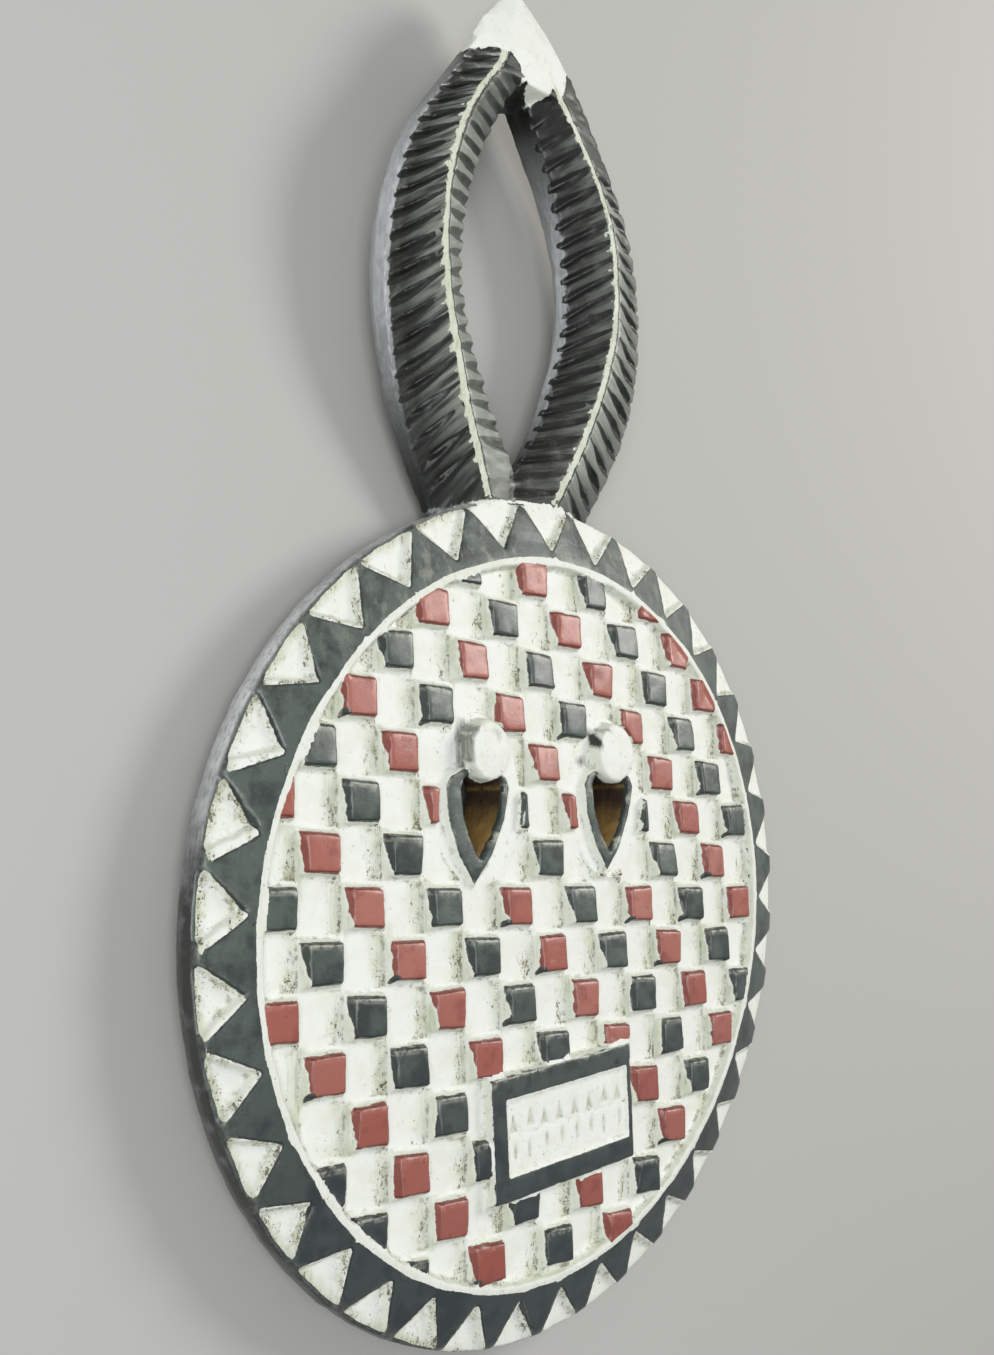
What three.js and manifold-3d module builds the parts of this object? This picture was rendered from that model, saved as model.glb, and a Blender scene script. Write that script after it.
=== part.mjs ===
// Horned disc mask carved from one piece of wood, lying on its back rim with the face up.
// Millimetres, +Z out of the face, +Y toward the tip of the horns, +X to the viewer's right.
import * as THREE from 'three'
import { mergeVertices } from 'three/addons/utils/BufferGeometryUtils.js'
import Module from 'manifold-3d'

const wasm = await Module()
wasm.setup()

// Driving sizes
const cell = 20
const thickness = 36
const relief = 4
const fieldRadius = 7.45 * cell
const rimWidth = 1.25 * cell
const discRadius = fieldRadius + rimWidth
const domeCurve = 0.000175
const rimFall = 7.4
const ovalness = 0.0275
const rimSpread = 1.8
const spreadToHorns = 1.4
const rimWear = 2.8
const wornAngle = THREE.MathUtils.degToRad(200)
const segments = 64

// Height of the uncut face at a distance from the middle of the disc
function faceHeight(radius) {
  const dome = thickness - domeCurve * Math.min(radius, fieldRadius) ** 2
  return dome - rimFall * Math.max(0, radius - fieldRadius) / rimWidth
}

// A small unevenness between -1 and 1 that is the same on every run
function handWobble(a, b) {
  const wave = Math.sin(a * 12.9898 + b * 78.233) * 43758.5453
  return 2 * (wave - Math.floor(wave)) - 1
}

// The round outline is cut slightly oval along one diagonal. Its rim is wider toward the horns, and narrower where it
// is worn at the left.
function ovalPoint(radius, angle, z) {
  const wear = rimWear * Math.max(0, Math.cos(angle - wornAngle)) ** 6
  const widening = rimSpread + spreadToHorns * Math.sin(angle) - wear
  const spread = widening * Math.max(0, radius - fieldRadius) / rimWidth
  const stretched = radius * (1 + ovalness * Math.sin(2 * angle)) + spread
  return [stretched * Math.cos(angle), stretched * Math.sin(angle), z]
}

// Closed solid from a closed geometry, with its faces turned outward
function solid(geometry) {
  const bare = geometry.index ? geometry.clone() : geometry
  bare.deleteAttribute('normal')
  bare.deleteAttribute('uv')
  const merged = mergeVertices(bare, 1e-4)
  const points = merged.attributes.position
  const faces = []
  for (let i = 0; i < merged.index.count; i += 3) {
    const [a, b, c] = [merged.index.getX(i), merged.index.getX(i + 1), merged.index.getX(i + 2)]
    if (a !== b && b !== c && c !== a) faces.push([a, b, c])
  }
  const corner = (index) => new THREE.Vector3().fromBufferAttribute(points, index)
  let volume = 0
  for (const [a, b, c] of faces) volume += corner(a).dot(corner(b).cross(corner(c)))
  const turned = volume < 0 ? faces.map(([a, b, c]) => [a, c, b]) : faces
  return new wasm.Manifold(new wasm.Mesh({
    numProp: 3,
    vertProperties: new Float32Array(points.array),
    triVerts: new Uint32Array(turned.flat()),
  }))
}

// Joins rings of points, each with the same number of corners, into one closed solid
function loft(rings) {
  const sides = rings[0].length
  const steps = rings.length - 1
  const geometry = new THREE.CylinderGeometry(1, 1, steps, sides, steps)
  const position = geometry.attributes.position
  for (let i = 0; i < position.count; i++) {
    const ring = rings[Math.round(steps / 2 - position.getY(i))]
    const [x, z] = [position.getX(i), position.getZ(i)]
    if (Math.hypot(x, z) < 0.5) {
      const middle = [0, 1, 2].map((axis) => ring.reduce((sum, point) => sum + point[axis], 0) / sides)
      position.setXYZ(i, ...(sides < 5 ? ring[0] : middle))
    } else {
      const column = Math.round(Math.atan2(x, z) / (2 * Math.PI) * sides + sides) % sides
      position.setXYZ(i, ...ring[column])
    }
  }
  return solid(geometry)
}

// Prism between two outlines of x,y points at heights given by a function or a number
function prism(top, topHeight, bottom, bottomHeight) {
  const place = (outline, height) => outline.map(([x, y]) => [x, y, typeof height === 'number' ? height : height(x, y)])
  return loft([place(top, topHeight), place(bottom, bottomHeight)])
}

// Disc: a rim ring with a flat back edge, and a thinner domed board inside it that leaves the back hollow
const hollowDepth = 12
const floorHeight = (radius) => faceHeight(radius) - relief
const edgeStart = discRadius - 1.6
const ringProfile = [
  [116, hollowDepth - 3], [132, 0], [158, 0], [168, 6.5], [discRadius - 0.6, 13], [discRadius + 0.4, 18],
  [discRadius, faceHeight(discRadius) - 1.8], [edgeStart, faceHeight(edgeStart)],
  [fieldRadius + 0.4, faceHeight(fieldRadius + 0.4)], [fieldRadius - 1, floorHeight(fieldRadius) - 1],
  [116, floorHeight(116) - 3],
]
const boardReach = fieldRadius + 9
const boardProfile = [
  [0, hollowDepth], [boardReach, hollowDepth - 1.2],
  [boardReach, thickness - relief - domeCurve * boardReach ** 2], [85, floorHeight(85)], [0, floorHeight(0)],
]
function latheSolid(profile, count) {
  const geometry = new THREE.LatheGeometry(profile.map(([radius, z]) => new THREE.Vector2(radius, z)), count)
  geometry.rotateX(Math.PI / 2)
  const position = geometry.attributes.position
  for (let i = 0; i < position.count; i++) {
    const [x, y, z] = [position.getX(i), position.getY(i), position.getZ(i)]
    position.setXYZ(i, ...ovalPoint(Math.hypot(x, y), Math.atan2(y, x), z))
  }
  return solid(geometry)
}
let disc = latheSolid([...ringProfile, ringProfile[0]], segments).add(latheSolid(boardProfile, 12))

// Sunk triangles around the rim, their points toward the ring, spaced a little unevenly and wider toward the left
// horn. Their walls are steep, and their floors come up to the face at the edge of the disc.
const toothCount = 36
const toothTip = fieldRadius + 4
const toothReach = discRadius + 9
const toothSink = 3.6
const toothSinkAtReach = 1
for (let k = 0; k < toothCount; k++) {
  const even = THREE.MathUtils.degToRad(142 + k * 360 / toothCount)
  const tipTurn = 0.3 + 4.6 * Math.cos(even + 2.7) + 2.2 * Math.cos(2 * even - 0.26)
  const footTurn = 0.5 + 4.5 * Math.cos(even + 2.52) + 2 * Math.cos(2 * even - 0.2)
  const halfAtEdge = 4 + 0.5 * Math.cos(even - 2.6) + Math.max(0, Math.cos(even - 2.35)) ** 4
  const flare = (toothReach - toothTip) / (discRadius - toothTip)
  const outline = (apex, share, apexHeight, reachHeight) => [
    [apex, tipTurn, apexHeight],
    [toothReach, tipTurn + (footTurn - tipTurn) * flare - share * halfAtEdge * flare, reachHeight],
    [toothReach, tipTurn + (footTurn - tipTurn) * flare + share * halfAtEdge * flare, reachHeight],
  ].map(([radius, turn, z]) => ovalPoint(radius, even + THREE.MathUtils.degToRad(turn), z))
  const above = outline(toothTip - 0.5, 1.05, faceHeight(toothTip) + 3, faceHeight(toothReach) + 3)
  const sunk = outline(toothTip + 5, 0.93, faceHeight(toothTip + 5) - toothSink,
    faceHeight(toothReach) - toothSinkAtReach)
  disc = disc.subtract(loft([above, sunk]))
}

// Checker of raised squares, every other cell, clipped by the ring and by the plain oval round each eye
const squareTop = 6.9
const squareFoot = 8.7
const lean = 0.0382
const tilt = 0.025
let squares = null
for (let row = 0; row < 15; row++) {
  for (let column = 0; column < 15; column++) {
    const [across, up] = [(column - 7) * cell, (7 - row) * cell]
    const centre = [-2.6 + across - lean * up, 1.8 + up - tilt * across]
    if ((row + column) % 2 === 0 || Math.hypot(...centre) > fieldRadius + 9) continue
    const corners = [[-1, -1], [1, -1], [1, 1], [-1, 1]]
    const outline = (half) => corners.map(([x, y], k) => [
      centre[0] + half * x - lean * half * y + 0.5 * handWobble(row * 4 + k, column),
      centre[1] + half * y - tilt * half * x + 0.5 * handWobble(row, column * 4 + k),
    ])
    const top = (x, y) => faceHeight(Math.hypot(x, y)) + 0.05
    const foot = (x, y) => floorHeight(Math.hypot(x, y)) - 1.2
    const block = prism(outline(squareTop), top, outline(squareFoot + 0.5), foot)
    squares = squares ? squares.add(block) : block
  }
}
const clip = latheSolid([[0, 0], [fieldRadius + 0.8, 0], [fieldRadius + 0.8, 60], [0, 60]], segments)
squares = squares.intersect(clip)

// Eyes: a round knob over a drop-shaped hole with a raised border, in a plain oval
const eyes = [
  {
    x: -43, y: 65.5,
    knob: { x: -41.9, y: 65.8, radius: 12.6, wide: 0.9, rise: 3.8 },
    border: { shift: -2, half: 17.6, drop: 39.5, slant: 3 },
  },
  {
    x: 37.3, y: 68,
    knob: { x: 39.2, y: 67.8, radius: 13, wide: 0.95, rise: 2.2 },
    border: { shift: -0.6, half: 16.4, drop: 37.5, slant: 2.6 },
  },
]
function dropOutline(eye, offset, half, widest, rise, drop, slant) {
  const points = []
  for (let k = 0; k <= 6; k++) points.push([half * Math.cos(k * Math.PI / 6), widest + rise * Math.sin(k * Math.PI / 6)])
  points.push([-0.86 * half, widest - 0.34 * drop], [-0.5 * half, widest - 0.7 * drop], [0, widest - drop])
  points.push([0.5 * half, widest - 0.7 * drop], [0.86 * half, widest - 0.34 * drop])
  return points.map(([x, y]) => [eye.x + offset + x + slant * (y - widest) / drop, eye.y + y])
}
const borderRise = 2.8
const holes = []
const knobs = []
let borders = null
for (const eye of eyes) {
  const surround = []
  for (let k = 0; k < 28; k++) {
    const angle = k * Math.PI / 14
    surround.push([eye.x + 24.5 * Math.cos(angle), eye.y - 19.5 + 35.5 * Math.sin(angle)])
  }
  squares = squares.subtract(prism(surround, 60, surround, 10))
  const floor = (x, y) => floorHeight(Math.hypot(x, y))
  const { shift, half, drop, slant } = eye.border
  const border = loft([
    dropOutline(eye, shift, half, -14.5, 8, drop, slant).map(([x, y]) => [x, y, floor(x, y) + borderRise]),
    dropOutline(eye, shift, half + 1.9, -14, 9, drop + 2.5, slant).map(([x, y]) => [x, y, floor(x, y) + 0.3]),
    dropOutline(eye, shift, half + 2.1, -14, 9, drop + 2.9, slant).map(([x, y]) => [x, y, floor(x, y) - 3]),
  ])
  borders = borders ? borders.add(border) : border
  const mouthOfHole = dropOutline(eye, 0.3, 12.8, -15, 8.5, 30.5, 1.6)
  const throat = dropOutline(eye, 0.7, 11.2, -16, 7.5, 26, 1.1)
  holes.push(loft([
    mouthOfHole.map(([x, y]) => [x, y, floor(x, y) + borderRise + 1]),
    throat.map(([x, y]) => [x, y, floor(x, y) - 2]),
    throat.map(([x, y]) => [x, y, -2]),
  ]))
  const { radius, wide, rise } = eye.knob
  const reach = Math.hypot(eye.knob.x, eye.knob.y)
  const top = faceHeight(reach) + rise
  const foot = floorHeight(reach) - 3
  const profile = [[0, foot], [radius + 0.9, foot], [radius + 0.2, top - 1.8], [radius - 1, top - 0.3], [0, top + 0.5]]
  const knob = new THREE.LatheGeometry(profile.map(([out, z]) => new THREE.Vector2(out, z)), 20)
  knob.rotateX(Math.PI / 2)
  knob.scale(wide, 1, 1)
  knob.translate(eye.knob.x, eye.knob.y, 0)
  knobs.push(solid(knob))
}

// Mouth: a raised frame with a slightly sunk panel
const mouth = { x: 4, y: -87.6, turn: THREE.MathUtils.degToRad(4.3) }
function mouthOutline(halfX, halfY, shiftX) {
  return [[-1, -1], [1, -1], [1, 1], [-1, 1]].map(([sx, sy]) => {
    const [x, y] = [shiftX + sx * halfX, sy * halfY]
    const [c, s] = [Math.cos(mouth.turn), Math.sin(mouth.turn)]
    return [mouth.x + x * c - y * s, mouth.y + x * s + y * c]
  })
}
const mouthTop = (x, y) => faceHeight(Math.hypot(x, y)) + 1.2
const mouthBlock = prism(mouthOutline(43, 24.6, 0), mouthTop, mouthOutline(44.5, 26, 0), (x, y) => mouthTop(x, y) - 8)
const mouthPanel = prism(mouthOutline(38, 15.8, 2.4), (x, y) => mouthTop(x, y) + 2, mouthOutline(37, 14.8, 2.4),
  (x, y) => mouthTop(x, y) - 1.3)

// Horns: stations up one horn, as distance from the mask's axis and height against the middle of the face
const stations = [
  { y: 148, corner: [38, -27], ridge: [8, -20], inner: [-24, -24], back: -33.5 },
  { y: 170, corner: [51.5, -23], ridge: [17, -13], inner: [-12, -19], back: -33 },
  { y: 190, corner: [63.5, -20.5], ridge: [26.8, -8], inner: [0, -14], back: -32.5 },
  { y: 210, corner: [74, -16.8], ridge: [36.6, -4.5], inner: [12.5, -11.5], back: -32 },
  { y: 230, corner: [80, -13], ridge: [44.3, -1], inner: [22, -11], back: -31 },
  { y: 250, corner: [83.5, -10.5], ridge: [50.7, 1.5], inner: [30, -10], back: -30 },
  { y: 270, corner: [84, -8], ridge: [54, 3.5], inner: [34, -9], back: -29 },
  { y: 290, corner: [82, -6], ridge: [54, 4.5], inner: [33, -8], back: -27.5 },
  { y: 310, corner: [76.5, -4], ridge: [51, 5.5], inner: [29, -6.5], back: -26 },
  { y: 330, corner: [67, -2.5], ridge: [43.8, 5.5], inner: [22, -5], back: -24.5 },
  { y: 350, corner: [52.2, -0.6], ridge: [31.8, 4.5], inner: [11, -4], back: -23 },
  { y: 370, corner: [37.4, 0.4], ridge: [16.5, 4], inner: [-1, -3.5], back: -21 },
  { y: 390, corner: [22.2, -0.2], ridge: [8, 2.5], inner: [-12, -4], back: -19 },
  { y: 408, corner: [5, -3.5], ridge: [1, -1], inner: [-5, -5], back: -13 },
]
const curve = (pick) => new THREE.CatmullRomCurve3(
  stations.map((station) => new THREE.Vector3(pick(station)[0], station.y, pick(station)[1])), false, 'catmullrom')
const lines = {
  corner: curve((station) => station.corner),
  ridge: curve((station) => station.ridge),
  inner: curve((station) => station.inner),
  back: curve((station) => [0, station.back]),
}
const hornSteps = 16
const hornFoot = stations[0].y
function lineAt(name, y) {
  let [low, high] = [0, 1]
  for (let k = 0; k < 24; k++) {
    const middle = (low + high) / 2
    if (lines[name].getPoint(middle).y < y) low = middle
    else high = middle
  }
  return lines[name].getPoint((low + high) / 2)
}
function hornPoint(side, out, y, z) {
  const axis = -2.6 - lean * y
  return [axis + side * out, y, thickness + z]
}
function hornRing(side, t) {
  const [corner, ridge, inner, back] = ['corner', 'ridge', 'inner', 'back'].map((name) => lines[name].getPoint(t))
  const width = corner.x - inner.x
  const depth = ridge.z - back.z
  const [cornerCut, sideBulge, sideFall] = side < 0 ? [0.09, 0.075, 0.165] : [0.03, 0.04, 0.13]
  const wallLean = 0.1 - 0.2 * Math.min(1, Math.max(0, (ridge.y - 300) / 50))
  const ring = [
    [ridge.x - 0.035 * width, ridge.z - 0.4], [ridge.x + 0.035 * width, ridge.z - 0.4],
    [corner.x - cornerCut * width, corner.z + 0.055 * depth],
    [corner.x - sideBulge * width, corner.z - 0.15 * depth], [corner.x - sideFall * width, corner.z - 0.38 * depth],
    [corner.x - 0.3 * width, back.z + 0.08 * depth], [corner.x - 0.46 * width, back.z],
    [inner.x + 0.3 * width, back.z + 0.08 * depth], [inner.x + wallLean * width, inner.z - 0.42 * depth],
    [inner.x - 0.02 * width, inner.z - 0.2 * depth], [inner.x, inner.z],
  ]
  return ring.map(([out, z]) => hornPoint(side, out, ridge.y, z))
}
let horns = null
for (const side of [-1, 1]) {
  const rings = []
  for (let k = 0; k <= hornSteps; k++) rings.push(hornRing(side, k / hornSteps))
  const horn = loft(rings)
  horns = horns ? horns.add(horn) : horn
}

// Feather notches on the two front faces of each horn, from its edge up to the ridge. Each row has its own
// spacing and end, and its own rise at the foot, in the middle and at the top of the horn.
const notchesEnd = 366
const notchRows = [
  { side: -1, edge: 'corner', first: 172, last: notchesEnd, pitch: 9, rise: [24, 19, 9] },
  { side: -1, edge: 'inner', first: 201, last: notchesEnd, pitch: 7.8, rise: [1, -9, 3] },
  { side: 1, edge: 'inner', first: 181, last: notchesEnd, pitch: 8.1, rise: [3, 14, 10] },
  { side: 1, edge: 'corner', first: 174, last: 340, pitch: 9, rise: [16, 8, -4] },
]
let notches = null
for (const { side, edge, first, last, pitch, rise } of notchRows) {
  for (let y = first; y < last; y += pitch) {
    const place = 2 * (y - 170) / (notchesEnd - 170)
    const step = Math.min(1, Math.floor(place))
    const climb = rise[step] + (rise[step + 1] - rise[step]) * (place - step)
    const low = lineAt(edge, y)
    const high = lineAt('ridge', Math.min(y + climb, notchesEnd + 12))
    const [from, to] = [low, high].map((point) => new THREE.Vector3(...hornPoint(side, point.x, point.y, point.z)))
    const along = to.clone().sub(from)
    const normal = along.clone().cross(new THREE.Vector3(0, 1, 0)).normalize()
    if (normal.z < 0) normal.negate()
    const across = normal.clone().cross(along).normalize()
    const section = (part, half, depth) => {
      const point = from.clone().addScaledVector(along, part)
      const corners = [[-half, 1.2], [half, 1.2], [0, -depth]]
      return corners.map(([a, n]) => point.clone().addScaledVector(across, a).addScaledVector(normal, n).toArray())
    }
    const [wide, deep] = [0.46 * pitch * Math.abs(across.y), 1.2 + 0.18 * pitch]
    const cut = edge === 'inner'
      ? loft([section(-0.12, wide, deep), section(0.9, 0.8, -0.3)])
      : loft([section(0, 1.2, -0.3), section(0.42, wide, deep), section(0.92, 0.8, -0.3)])
    notches = notches ? notches.add(cut) : cut
  }
}
horns = horns.subtract(notches)

// Pointed tip where the horns meet, filled between the ridges and a little proud of the notched faces
const tipY = stations.at(-1).y
function tipRing(y, proud) {
  const [corner, ridge] = [lineAt('corner', y), lineAt('ridge', y)]
  const ring = [[-corner.x - proud, corner.z], [-ridge.x, ridge.z + proud], [ridge.x, ridge.z + proud],
    [corner.x + proud, corner.z], [0, -17]]
  return ring.map(([out, z]) => hornPoint(1, out, y, z))
}
const tip = loft([tipRing(tipY - 0.5, 0.3), tipRing(398, 0.6), tipRing(388, 0.7), tipRing(376, 0.5)])
const fillRing = (y, half, top, bottom) => [[-half, top], [half, top], [0, bottom]]
  .map(([out, z]) => hornPoint(1, out, y, z))
const fillTop = (y) => fillRing(y, lineAt('ridge', y).x, lineAt('ridge', y).z - 0.2, -17)
const fill = loft([fillTop(380), fillTop(364), fillRing(358, 6, -10, -18)])

// One solid
let mask = disc.add(horns).add(tip).add(fill).add(squares).add(borders)
for (const hole of holes) mask = mask.subtract(hole)
for (const knob of knobs) mask = mask.add(knob)
mask = mask.add(mouthBlock).subtract(mouthPanel)

const { vertProperties, triVerts, numProp } = mask.getMesh()
const geometry = new THREE.BufferGeometry()
const positions = new Float32Array(vertProperties.length / numProp * 3)
for (let i = 0; i < positions.length / 3; i++) {
  for (let axis = 0; axis < 3; axis++) positions[3 * i + axis] = vertProperties[numProp * i + axis]
}
geometry.setAttribute('position', new THREE.BufferAttribute(positions, 3))
geometry.setIndex(new THREE.BufferAttribute(new Uint32Array(triVerts), 1))

// Origin at the middle of the bounding box on the ground
geometry.computeBoundingBox()
const box = geometry.boundingBox
const middle = box.getCenter(new THREE.Vector3())
geometry.translate(-middle.x, -middle.y, -box.min.z)

const paintedWood = new THREE.MeshStandardMaterial({ color: 0xe6e6de, roughness: 0.62, metalness: 0 })
const mesh = new THREE.Mesh(geometry, paintedWood)
mesh.name = 'mask'

const group = new THREE.Group()
group.name = 'horned_disc_mask'
group.add(mesh)
export default group
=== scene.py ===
import math
import bpy
import bmesh
import numpy as np
from mathutils import Euler, Matrix, Vector


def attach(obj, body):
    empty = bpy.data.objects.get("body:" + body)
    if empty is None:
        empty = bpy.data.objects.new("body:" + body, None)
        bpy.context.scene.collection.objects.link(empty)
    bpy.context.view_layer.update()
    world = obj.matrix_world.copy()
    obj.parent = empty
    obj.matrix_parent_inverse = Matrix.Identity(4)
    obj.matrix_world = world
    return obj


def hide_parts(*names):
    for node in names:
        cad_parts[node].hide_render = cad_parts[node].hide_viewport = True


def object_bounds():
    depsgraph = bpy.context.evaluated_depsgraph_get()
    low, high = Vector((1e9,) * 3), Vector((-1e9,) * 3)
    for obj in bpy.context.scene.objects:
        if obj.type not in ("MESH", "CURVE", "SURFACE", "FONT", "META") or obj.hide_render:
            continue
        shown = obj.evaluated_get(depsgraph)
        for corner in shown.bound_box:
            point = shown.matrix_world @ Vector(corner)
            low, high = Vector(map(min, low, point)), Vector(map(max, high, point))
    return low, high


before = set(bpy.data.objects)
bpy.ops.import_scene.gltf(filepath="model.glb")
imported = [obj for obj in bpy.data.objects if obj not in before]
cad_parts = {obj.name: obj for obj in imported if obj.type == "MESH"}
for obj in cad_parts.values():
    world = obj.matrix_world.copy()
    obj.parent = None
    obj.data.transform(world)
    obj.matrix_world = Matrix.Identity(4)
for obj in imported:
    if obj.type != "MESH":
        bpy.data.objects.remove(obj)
cadBox = [list(corner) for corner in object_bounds()]


# Camera, floor and lights

# The camera looks down on the lying mask from its left, at the photograph's angle
cameraSetup = {
    "place": (-0.45130, -0.08810, 0.44797),  # metres
    "turn": (7.4522, -45.1217, -0.5953),  # degrees about x, y and z
    "lens": 37.64,  # on a 36 mm sensor along the long side of a 994 x 1355 frame
    "shift": (-0.0007, -0.0073),
}


def setCamera():
    data = bpy.data.cameras.new("photoCamera")
    data.lens = cameraSetup["lens"]
    data.sensor_width = 36.0
    data.shift_x, data.shift_y = cameraSetup["shift"]
    data.clip_start = 0.01
    camera = bpy.data.objects.new("photoCamera", data)
    bpy.context.scene.collection.objects.link(camera)
    turn = Euler([math.radians(angle) for angle in cameraSetup["turn"]])
    camera.matrix_world = Matrix.Translation(cameraSetup["place"]) @ turn.to_matrix().to_4x4()
    bpy.context.scene.camera = camera


def linearColour(hexText, alpha=1.0):
    # sRGB hex to the linear values that Blender works in
    parts = [int(hexText[k:k + 2], 16) / 255 for k in (1, 3, 5)]
    return [p / 12.92 if p <= 0.04045 else ((p + 0.055) / 1.055) ** 2.4 for p in parts] + [alpha]


def addNode(tree, kind, settings=None, links=None, give=0):
    # adds one shader node, sets its values and sockets, links what feeds it, and gives one of its outputs
    node = tree.nodes.new("ShaderNode" + kind)
    for name, value in (settings or {}).items():
        if isinstance(name, int) or name in node.inputs:
            node.inputs[name].default_value = value
        else:
            setattr(node, name, value)
    for name, source in (links or {}).items():
        tree.links.new(source, node.inputs[name])
    return node.outputs[give]


studio = {
    "floorSize": 16.0,
    "floorColour": "#BFBEBA",
    "worldColour": "#DCE0E2",
    "worldStrength": 0.36,
    # place, size in metres, watts and colour of each lamp, which faces the middle of the floor
    "lamps": {
        "keyLamp": ((1.25, 0.55, 1.15), 0.8, 16.5, "#FFFCF6"),
        "leftLamp": ((-1.10, -0.10, 1.30), 1.1, 17.0, "#FCFDFF"),
    },
}


def buildStudio():
    shape = bmesh.new()
    bmesh.ops.create_grid(shape, x_segments=2, y_segments=2, size=studio["floorSize"] / 2)
    data = bpy.data.meshes.new("studioFloor")
    shape.to_mesh(data)
    shape.free()
    floor = bpy.data.objects.new("studioFloor", data)
    bpy.context.scene.collection.objects.link(floor)
    paper = bpy.data.materials.new("mattSeamlessPaper")
    paper.use_nodes = True
    skin = paper.node_tree.nodes["Principled BSDF"]
    skin.inputs["Base Color"].default_value = linearColour(studio["floorColour"])
    skin.inputs["Roughness"].default_value = 0.9
    skin.inputs["Specular IOR Level"].default_value = 0.2
    data.materials.append(paper)
    for name, (place, size, watts, colour) in studio["lamps"].items():
        lamp = bpy.data.lights.new(name, "AREA")
        lamp.shape = "DISK"
        lamp.size = size
        lamp.energy = watts
        lamp.color = linearColour(colour)[:3]
        holder = bpy.data.objects.new(name, lamp)
        turn = Vector(place).to_track_quat("Z", "Y")
        holder.matrix_world = Matrix.Translation(place) @ turn.to_matrix().to_4x4()
        bpy.context.scene.collection.objects.link(holder)
    world = bpy.data.worlds.new("studioWorld")
    world.use_nodes = True
    sky = world.node_tree.nodes["Background"]
    sky.inputs["Color"].default_value = linearColour(studio["worldColour"])
    sky.inputs["Strength"].default_value = studio["worldStrength"]
    bpy.context.scene.world = world
    bpy.context.scene.view_settings.view_transform = "Standard"


setCamera()
buildStudio()
print("camera, floor and lights ready")


# Plan of the carving, in millimetres from the middle of the disc and up from its flat back

disc = {
    "middleX": -1.090,
    "middleY": -116.558,
    "cell": 20.0,
    "thickness": 36.0,
    "relief": 4.0,
    "fieldRadius": 149.0,
    "rimWidth": 25.0,
    "domeCurve": 0.000175,
    "rimFall": 7.4,
    "ovalness": 0.0275,
    "rimSpread": 1.8,
    "spreadToHorns": 1.4,
    "rimWear": 2.8,
    "wornAngle": math.radians(200),
}
discRadius = disc["fieldRadius"] + disc["rimWidth"]


def faceHeight(radius):
    dome = disc["thickness"] - disc["domeCurve"] * np.minimum(radius, disc["fieldRadius"]) ** 2
    return dome - disc["rimFall"] * np.maximum(0, radius - disc["fieldRadius"]) / disc["rimWidth"]


def outlineShape(angle):
    # how much the outline is stretched at an angle, and how much its rim is widened
    wear = disc["rimWear"] * np.maximum(0, np.cos(angle - disc["wornAngle"])) ** 6
    widening = disc["rimSpread"] + disc["spreadToHorns"] * np.sin(angle) - wear
    return 1 + disc["ovalness"] * np.sin(2 * angle), widening / disc["rimWidth"]


def ovalPoint(radius, angle):
    stretch, widening = outlineShape(angle)
    reach = radius * stretch + widening * max(0, radius - disc["fieldRadius"])
    return reach * math.cos(angle), reach * math.sin(angle)


def trueRadius(x, y):
    # distance from the middle, with the oval and the widening of the rim taken out
    stretch, widening = outlineShape(np.arctan2(y, x))
    radius = np.hypot(x, y)
    onRim = (radius + widening * disc["fieldRadius"]) / (stretch + widening)
    return np.where(radius > disc["fieldRadius"] * stretch, onRim, radius / stretch)


def handWobble(a, b):
    # a value between -1 and 1 that looks random but is the same for the same two numbers
    wave = np.sin(a * 12.9898 + b * 78.233) * 43758.5453
    return 2 * (wave - np.floor(wave)) - 1


def ease(low, high, value):
    share = np.clip((value - low) / (high - low), 0, 1)
    return share * share * (3 - 2 * share)


def outlineDepth(x, y, outline):
    # how far points lie inside a closed outline, negative outside
    nearest = np.full(len(x), 1e6)
    inside = np.zeros(len(x), bool)
    for (ax, ay), (bx, by) in zip(outline, outline[1:] + outline[:1]):
        ex, ey = bx - ax, by - ay
        wx, wy = x - ax, y - ay
        along = np.clip((wx * ex + wy * ey) / (ex * ex + ey * ey), 0, 1)
        nearest = np.minimum(nearest, np.hypot(wx - along * ex, wy - along * ey))
        if ey != 0:
            inside ^= ((ay > y) != (by > y)) & (wx < wy * ex / ey)
    return np.where(inside, nearest, -nearest)


latticeKeys = (73856093, 19349663, 83492791)  # large odd numbers that scatter the corners of a lattice


def latticeNoise(points, size, seed):
    # smooth noise between -1 and 1 with bumps of about the given size, the same on every run
    at = points / size + 1000.0 * seed
    base = np.floor(at)
    part = at - base
    part = part * part * (3 - 2 * part)
    base = base.astype(np.int64)
    total = np.zeros(len(points))
    for dx, dy, dz in np.ndindex(2, 2, 2):
        keyX, keyY, keyZ = ((base + (dx, dy, dz)) * latticeKeys).T
        key = keyX ^ keyY ^ keyZ
        key = (key ^ (key >> 13)) * 1274126177
        value = ((key ^ (key >> 16)) & 65535) / 32767.5 - 1
        weight = (part[:, 0] if dx else 1 - part[:, 0]) * (part[:, 1] if dy else 1 - part[:, 1])
        total += value * weight * (part[:, 2] if dz else 1 - part[:, 2])
    return total


def lineNoise(along, number, size, seed):
    # noise along a line, different for each numbered piece
    return latticeNoise(np.stack([along, number * 57.0, along * 0], 1), size, seed)


outside = -9.0  # depth of a point that is nowhere near an area


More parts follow.
